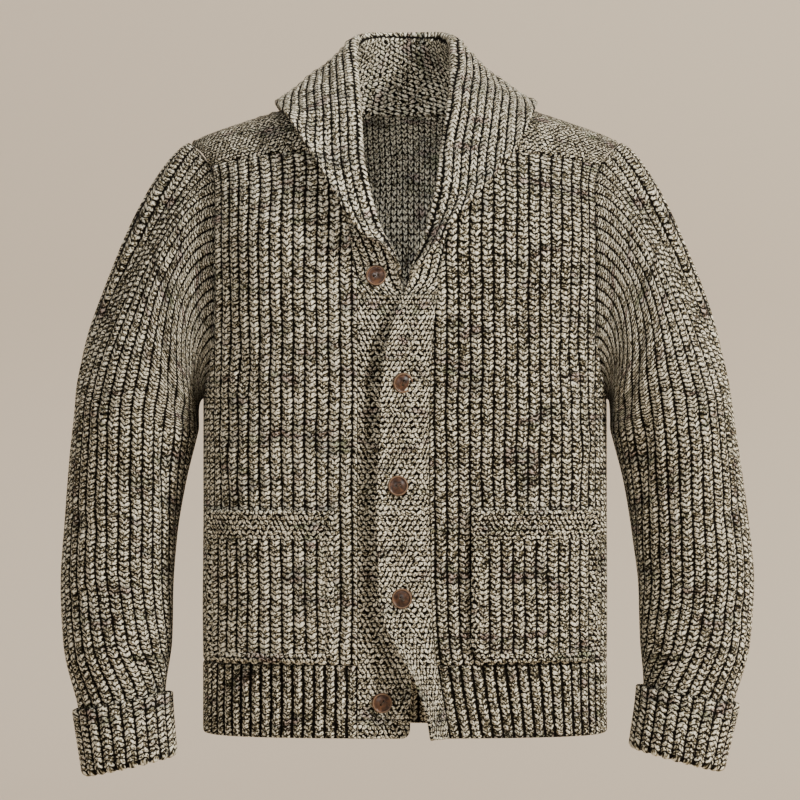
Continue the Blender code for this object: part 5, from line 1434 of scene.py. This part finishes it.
def neck_half(sign, rows):
    """Half of the neck edge, from the break to the back's middle: places and out."""
    points = []
    for z in reversed(NECK_HEIGHTS):
        x = edge_x(rows, z)
        rise = float(rise_of_height(z, x))
        points.append(torso(arc_at(x, rise, FRONT), rise, FRONT))
    rise = SHOULDER_START + SHOULDER_ARC * float(seam_turn(SEAM_INNER))
    points.append(torso(sign * arc_of(SEAM_INNER, FRONT), rise, FRONT))
    for x, share in reversed(BACK_NECK):
        rise = SHOULDER_START + SHOULDER_ARC * share
        points.append(torso(sign * arc_at(x, rise, BACK), rise, BACK))
    return points


class Collar:
    """The collar's form.  Across it runs u, from the roll; along it runs v."""

    def __init__(self):
        right, left = neck_half(-1, RIGHT_EDGE), neck_half(1, LEFT_EDGE)
        points = right + left[-2::-1]
        self.places = np.array([point for point, _ in points])
        self.outs = np.array([out for _, out in points])
        along = self.places * 0.0
        along[1:-1] = self.places[2:] - self.places[:-2]
        along[0] = self.places[1] - self.places[0]
        along[-1] = self.places[-1] - self.places[-2]
        self.inwards = unit(np.cross(unit(along), self.outs))
        steps = np.linalg.norm(np.diff(self.places, axis=0), axis=1)
        self.lengths = np.concatenate([[0.0], np.cumsum(steps)])
        half, whole = self.lengths[len(right) - 1], self.lengths[-1]
        stations = [(half * row[0], *row[1:]) for row in RIGHT_COLLAR]
        stations += [(whole - (whole - half) * row[0], *row[1:]) for row in reversed(LEFT_COLLAR)]
        folds = np.array([row[1:4] for row in stations])
        v = np.concatenate([[0.0], np.cumsum(np.linalg.norm(np.diff(folds, axis=0), axis=1))])
        self.rows = [(at, *row) for at, row in zip(v, stations)]
        self.length = float(v[-1])

    def neck_frame(self, length):
        point, out, inward = (np.array([np.interp(length, self.lengths, column[:, k])
                                        for k in range(3)])
                              for column in (self.places, self.outs, self.inwards))
        out = unit(out)
        return point, out, unit(inward - out * inward.dot(out))

    def section(self, v):
        """The shape across the collar at one distance along it."""
        seam, *values = table_curve(self.rows, v)
        fold, edge = np.array(values[0:3]), np.array(values[3:6])
        turn, rise = math.radians(values[6]), math.radians(values[7])
        step = 2 * MM
        along = unit(table_curve(self.rows, min(v + step, self.length))[1:4]
                     - table_curve(self.rows, max(v - step, 0.0))[1:4])
        point, out, inward = self.neck_frame(seam)
        heading = inward * math.cos(rise) + out * math.sin(rise)
        base = point + inward * SEAM_GAP + out * (WALL * math.cos(rise))
        peak = min(turn, math.pi / 2)
        start = fold
        for _ in range(3):
            towards = start - base
            towards = unit(towards - along * towards.dot(along))
            facing = np.cross(along, towards)
            outward = facing * math.cos(peak) + towards * math.sin(peak)
            centre = fold - outward * (ROLL + WALL + RIB_LIFT)
            start = centre + facing * ROLL
        end = centre + (facing * math.cos(turn) + towards * math.sin(turn)) * ROLL
        after = towards * math.cos(turn) - facing * math.sin(turn)
        edge = end if turn < 1e-6 else edge
        return {"base": base, "heading": heading, "towards": towards, "facing": facing,
                "centre": centre, "start": start, "end": end, "after": after, "edge": edge,
                "stand": np.linalg.norm(start - base), "fall": np.linalg.norm(edge - end),
                "half": ROLL * turn / 2, "shown": inward * math.sin(rise) - out * math.cos(rise)}

    def row(self, u, part):
        """Places of the hidden face across one section."""
        half, stand, fall = part["half"], part["stand"], part["fall"]
        on_stand = hermite(part["start"], -part["towards"] * stand, part["base"],
                           -part["heading"] * stand, np.clip((-u - half) / stand, 0.0, 1.0))
        angle = ((u + half) / ROLL)[:, None]
        on_roll = part["centre"] + (part["facing"] * np.cos(angle)
                                    + part["towards"] * np.sin(angle)) * ROLL
        on_fall = hermite(part["end"], part["after"] * fall, part["edge"], part["edge"] - part["end"],
                          np.clip((u - half) / max(fall, 1e-9), 0.0, 1.0))
        return np.where((u < -half)[:, None], on_stand,
                        np.where((u <= half)[:, None], on_roll, on_fall))


# %% [markdown]
# On the fronts the collar's free edge stands up.  How far is a guess, chosen for the shadow
# that it throws.  Behind the neck the stand is seed stitch.

# %% Collar piece
# v0 and v1 run along the roll; u0 and u1 across it, positive on the fall
COLLAR_CREASES = (
    (0.026, 0.085, 0.030, 0.190, 11 * MM, -3.0 * MM),
    (0.050, 0.110, 0.058, 0.250, 14 * MM, 2.2 * MM),
    (0.022, 0.230, 0.034, 0.300, 12 * MM, -2.2 * MM),
    (0.060, 0.300, 0.050, 0.400, 16 * MM, 2.0 * MM),
    (0.030, 0.470, 0.060, 0.560, 15 * MM, -2.0 * MM),
    (0.028, 0.640, 0.036, 0.760, 13 * MM, -1.8 * MM),
    (0.062, 0.640, 0.060, 0.730, 18 * MM, 2.2 * MM),
    (0.016, 0.760, 0.020, 0.840, 10 * MM, -1.6 * MM),
)
SEED_BACK = 0.120            # seed stitch on the stand, this far to both sides of the middle
CURL = 13.0 * MM             # how far the fronts' free edge turns up from what it lies on
CURL_BEHIND = 1.0 * MM       # and over the shoulders and behind the neck
CURL_WIDTH = 22 * MM
FRONT_REACH = 0.19           # how far along the collar its fronts go, from each end
FRONT_FADE = 0.08            # length over which the curl dies away past that
COLLAR_CALM = 0.06           # no crease or curl at the very ends, this long
COLLAR_CELL = 4.4 * MM
COLLAR_SPREAD = 0.19         # width that the columns across are spaced for


def collar_piece():
    form = Collar()
    levels = form.length * spaced(form.length, COLLAR_CELL)
    share = spaced(COLLAR_SPREAD, COLLAR_PITCH / 6)
    rows, us, halves = [], [], []
    for v in levels:
        part = form.section(v)
        low, high = -(part["half"] + part["stand"]), part["half"] + part["fall"]
        u = low + (high - low) * share
        rows.append(form.row(u, part))
        us.append(u)
        halves.append(part["half"])
    rows, u = np.array(rows), np.array(us)
    rows[0, :, 2] = BREAK
    rows[-1, :, 2] = BREAK
    v = levels[:, None] + 0.0 * u
    out = grid_normals(rows)
    middle = len(levels) // 2
    if np.dot(out[middle, 3], form.section(levels[middle])["shown"]) < 0.0:
        out = -out
    for k in (0, -1):
        out[k, :, 2] = 0.0
        out[k] = unit(out[k])
    from_end = np.minimum(v, form.length - v)
    ends = ease(from_end / COLLAR_CALM)
    calm = ease(np.minimum(share, 1.0 - share) * 8.0)[None, :] * ends
    relief = (creased(u, v, COLLAR_CREASES) + swell(u, v, 6.0, 0.9 * MM)) * calm
    to_edge = u[:, -1:] - u
    in_front = 1.0 - ease((from_end - FRONT_REACH) / FRONT_FADE)
    curl = CURL_BEHIND + (CURL - CURL_BEHIND) * in_front
    relief += curl * ease(1.0 - to_edge / CURL_WIDTH) * ends
    pattern = wavering(u, v, 12.0)
    on_stand = u < -np.array(halves)[:, None]
    moss = (on_stand & (np.abs(v - form.length / 2) < SEED_BACK)).astype(float)
    lift = np.where(moss > 0.5, 0.5 * MM, rib_relief(pattern, COLLAR_PITCH))
    block = (rows + out * relief[..., None], out, lift, np.stack([pattern, v], -1), moss)
    piece = cloth_wall("collar_knitted", [block], collar_knit)
    dressed(piece, "collar", area=0.155)
    print("collar length", round(form.length, 3))


collar_piece()

# %% [markdown]
# ## Buttons
# The buttons are turned from brown horn or its imitation: a raised outer rim, a dished
# ring inside it, and a low dome in the middle with two thread holes.  A disc is a good
# start, because every feature is a ring that inset, extrude and bevel can make.

# %% One button, modelled from a disc
BUTTON_RADIUS = 10.8 * MM
BUTTON_THICK = 3.2 * MM
RIM_WIDTH = 1.9 * MM
RIM_RISE = 1.0 * MM
DISH_DEPTH = 1.0 * MM
DOME_RISE = 1.3 * MM
HOLE_RADIUS = 1.15 * MM
HOLE_OFFSET = 2.3 * MM


def select_faces(data, keep):
    """Selects the faces whose centre and direction pass the test."""
    bpy.ops.object.mode_set(mode="OBJECT")
    for face in data.polygons:
        face.select = bool(keep(face))
    for edge in data.edges:
        edge.select = False
    for vertex in data.vertices:
        vertex.select = False
    bpy.ops.object.mode_set(mode="EDIT")
    bpy.ops.mesh.select_mode(type="FACE")


def top_cap(face):
    return face.normal.z > 0.99 and math.hypot(face.center.x, face.center.y) < 0.2 * MM


bpy.ops.object.select_all(action="DESELECT")
bpy.ops.mesh.primitive_cylinder_add(vertices=48, radius=BUTTON_RADIUS, depth=BUTTON_THICK,
                                    location=(0.0, 0.0, BUTTON_THICK / 2))
button_form = bpy.context.object
button_form.name = "button_form"
select_faces(button_form.data, top_cap)
bpy.ops.mesh.inset(thickness=0.9 * MM)
bpy.ops.transform.translate(value=(0.0, 0.0, RIM_RISE))
bpy.ops.mesh.inset(thickness=RIM_WIDTH - 0.9 * MM)
bpy.ops.transform.translate(value=(0.0, 0.0, -0.25 * MM))
bpy.ops.mesh.inset(thickness=0.7 * MM)
bpy.ops.transform.translate(value=(0.0, 0.0, -DISH_DEPTH))
for width, rise in ((1.4 * MM, 0.25 * MM), (1.7 * MM, DOME_RISE * 0.55),
                    (1.9 * MM, DOME_RISE * 0.30)):
    bpy.ops.mesh.inset(thickness=width)
    bpy.ops.transform.translate(value=(0.0, 0.0, rise))
bpy.ops.object.mode_set(mode="OBJECT")
bevel = button_form.modifiers.new("rounding", "BEVEL")
bevel.width = 0.35 * MM
bevel.segments = 3
bevel.limit_method = "ANGLE"
bevel.angle_limit = math.radians(24)
bpy.ops.object.modifier_apply(modifier=bevel.name)
print("button before its holes:", len(button_form.data.polygons), "faces")

# %% [markdown]
# The two holes are drilled with a thin rod, as on a lathe.  A short twist of thread
# crosses from one hole to the other and holds the button on.

# %% Thread holes and thread
for side in (-1, 1):
    bpy.ops.object.select_all(action="DESELECT")
    bpy.ops.mesh.primitive_cylinder_add(vertices=20, radius=HOLE_RADIUS, depth=14 * MM,
                                        location=(side * HOLE_OFFSET, 0.0, 2 * MM))
    rod = bpy.context.object
    bpy.ops.object.select_all(action="DESELECT")
    bpy.context.view_layer.objects.active = button_form
    button_form.select_set(True)
    cut = button_form.modifiers.new("hole", "BOOLEAN")
    cut.operation = "DIFFERENCE"
    cut.solver = "EXACT"
    cut.object = rod
    bpy.ops.object.modifier_apply(modifier=cut.name)
    bpy.data.objects.remove(rod, do_unlink=True)
bpy.ops.object.shade_smooth_by_angle(angle=math.radians(35))

THREAD_RADIUS = 0.30 * MM
bpy.ops.object.select_all(action="DESELECT")
bpy.ops.mesh.primitive_cylinder_add(vertices=10, radius=THREAD_RADIUS, depth=2 * HOLE_OFFSET,
                                    rotation=(0.0, math.radians(90), 0.0), location=(0.0, 0.0, 0.0))
thread_form = bpy.context.object
thread_form.name = "thread_form"
bpy.ops.object.transform_apply(location=True, rotation=True, scale=True)
bpy.ops.object.mode_set(mode="EDIT")
for k in range(-3, 4):
    bpy.ops.mesh.select_all(action="SELECT")
    bpy.ops.mesh.bisect(plane_co=(HOLE_OFFSET * k / 4, 0.0, 0.0), plane_no=(1.0, 0.0, 0.0))
bpy.ops.object.mode_set(mode="OBJECT")
BUTTON_FACE = BUTTON_THICK + RIM_RISE - 0.25 * MM - DISH_DEPTH + 0.25 * MM + DOME_RISE * 0.85
for vertex in thread_form.data.vertices:
    bow = 1.0 - (vertex.co.x / HOLE_OFFSET) ** 4
    vertex.co.z += BUTTON_FACE - 1.6 * MM + 1.85 * MM * bow
bpy.ops.object.shade_smooth()
print("thread:", len(thread_form.data.polygons), "faces")

# %% [markdown]
# Polished horn is brown with soft darker clouds and glossy.  Its raised rim is painted lighter
# all round, a painted highlight.  The clouds read Object coordinates turned with noise, so no
# two buttons match; the rim's painted highlight reads a mark on the mesh.

# %% Button and thread materials
def horn_material():
    made = bpy.data.materials.new("polished_horn")
    made.use_nodes = True
    tree = made.node_tree
    shader = tree.nodes["Principled BSDF"]
    place = tree.nodes.new("ShaderNodeTexCoord")
    clouds = Signal(tree, noise(tree, place.outputs["Object"], 160.0, 3.0, 0.8).outputs["Fac"])
    colour = ramp(tree, clouds, ((0.33, (0.018, 0.008, 0.004)), (0.50, (0.058, 0.024, 0.011)),
                                 (0.66, (0.125, 0.055, 0.026))))
    # painted highlight: the raised rim is painted lighter all round, for the light that it catches
    rim_highlight = tree.nodes.new("ShaderNodeAttribute")
    rim_highlight.attribute_name = "rim"
    lighter = tree.nodes.new("ShaderNodeMix")
    lighter.data_type = "RGBA"
    lighter.inputs["B"].default_value = (0.33, 0.215, 0.130, 1.0)
    tree.links.new((Signal(tree, rim_highlight.outputs["Fac"]) * 0.62).socket, lighter.inputs["Factor"])
    tree.links.new(colour, lighter.inputs["A"])
    tree.links.new(lighter.outputs["Result"], shader.inputs["Base Color"])
    rough = clouds * 0.22 + 0.26
    tree.links.new(rough.socket, shader.inputs["Roughness"])
    shader.inputs["Coat Weight"].default_value = 0.06
    shader.inputs["Coat Roughness"].default_value = 0.12
    shader.inputs["Specular IOR Level"].default_value = 0.35
    scratches = noise(tree, place.outputs["Object"], 900.0, 2.0)
    bump = tree.nodes.new("ShaderNodeBump")
    bump.inputs["Strength"].default_value = 0.25
    bump.inputs["Distance"].default_value = 0.1 * MM
    tree.links.new(scratches.outputs["Fac"], bump.inputs["Height"])
    tree.links.new(bump.outputs["Normal"], shader.inputs["Normal"])
    return made


def thread_material():
    made = bpy.data.materials.new("twisted_thread")
    made.use_nodes = True
    tree = made.node_tree
    shader = tree.nodes["Principled BSDF"]
    place = tree.nodes.new("ShaderNodeTexCoord")
    twist = tree.nodes.new("ShaderNodeTexWave")
    twist.bands_direction = "DIAGONAL"
    twist.inputs["Scale"].default_value = 700.0
    tree.links.new(place.outputs["Object"], twist.inputs["Vector"])
    colour = ramp(tree, Signal(tree, twist.outputs["Fac"]),
                  ((0.2, (0.030, 0.021, 0.012)), (0.8, (0.11, 0.08, 0.05))))
    tree.links.new(colour, shader.inputs["Base Color"])
    shader.inputs["Roughness"].default_value = 0.8
    return made


horn = horn_material()
thread_look = thread_material()
# the ring near the button's edge that carries the rim's painted highlight
rim_mark = button_form.data.attributes.new("rim", "FLOAT", "POINT")
radii = np.array([math.hypot(vertex.co.x, vertex.co.y) for vertex in button_form.data.vertices])
rims = np.exp(-((radii / BUTTON_RADIUS - 0.90) / 0.055) ** 2)
rim_mark.data.foreach_set("value", rims)
button_form.data.materials.clear()
button_form.data.materials.append(horn)
thread_form.data.materials.clear()
thread_form.data.materials.append(thread_look)

# %% [markdown]
# Each button sits just off its band, facing the way the band faces there.  It is placed
# by the solid it replaces, and turned a little, as sewn-on buttons are.

# %% Placing the buttons
# node, turn about its own axis in degrees, lean of its face in degrees (about x, about z)
BUTTONS = (("button_1", 20, -2, 2), ("button_2", 75, 4, 14), ("button_3", 8, -3, 5),
           ("button_4", -30, 2, -5), ("button_5", 55, 5, 8))


def placed_copy(form, name, matrix):
    data = form.data.copy()
    data.transform(matrix)
    made = bpy.data.objects.new(name, data)
    bpy.context.scene.collection.objects.link(made)
    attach(made, "root")
    return made


def facing_of(node):
    """The direction out of a flat solid's face, from its own mesh."""
    points = np.array([vertex.co[:] for vertex in bpy.data.objects[node].data.vertices])
    _, _, axes = np.linalg.svd(points - points.mean(0))
    return Vector(axes[2] if axes[2][1] < 0.0 else -axes[2])


for node, turn, lean_x, lean_z in BUTTONS:
    low, high = (Vector(corner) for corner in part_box(node))
    out = facing_of(node)
    face = out.to_track_quat("Z", "Y").to_matrix().to_4x4()
    middle = (low + high) / 2 - out * (BUTTON_THICK + RIM_RISE) / 2
    lean = Euler((math.radians(lean_x), math.radians(lean_z), 0.0)).to_matrix().to_4x4()
    spin = Matrix.Rotation(math.radians(turn), 4, "Z")
    matrix = Matrix.Translation(middle) @ face @ lean @ spin
    shown = placed_copy(button_form, f"{node}_turned", matrix)
    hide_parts(node)
    stitched = placed_copy(thread_form, f"{node}_thread", matrix)
bpy.data.objects.remove(button_form, do_unlink=True)
bpy.data.objects.remove(thread_form, do_unlink=True)
print("buttons placed:", len(BUTTONS))
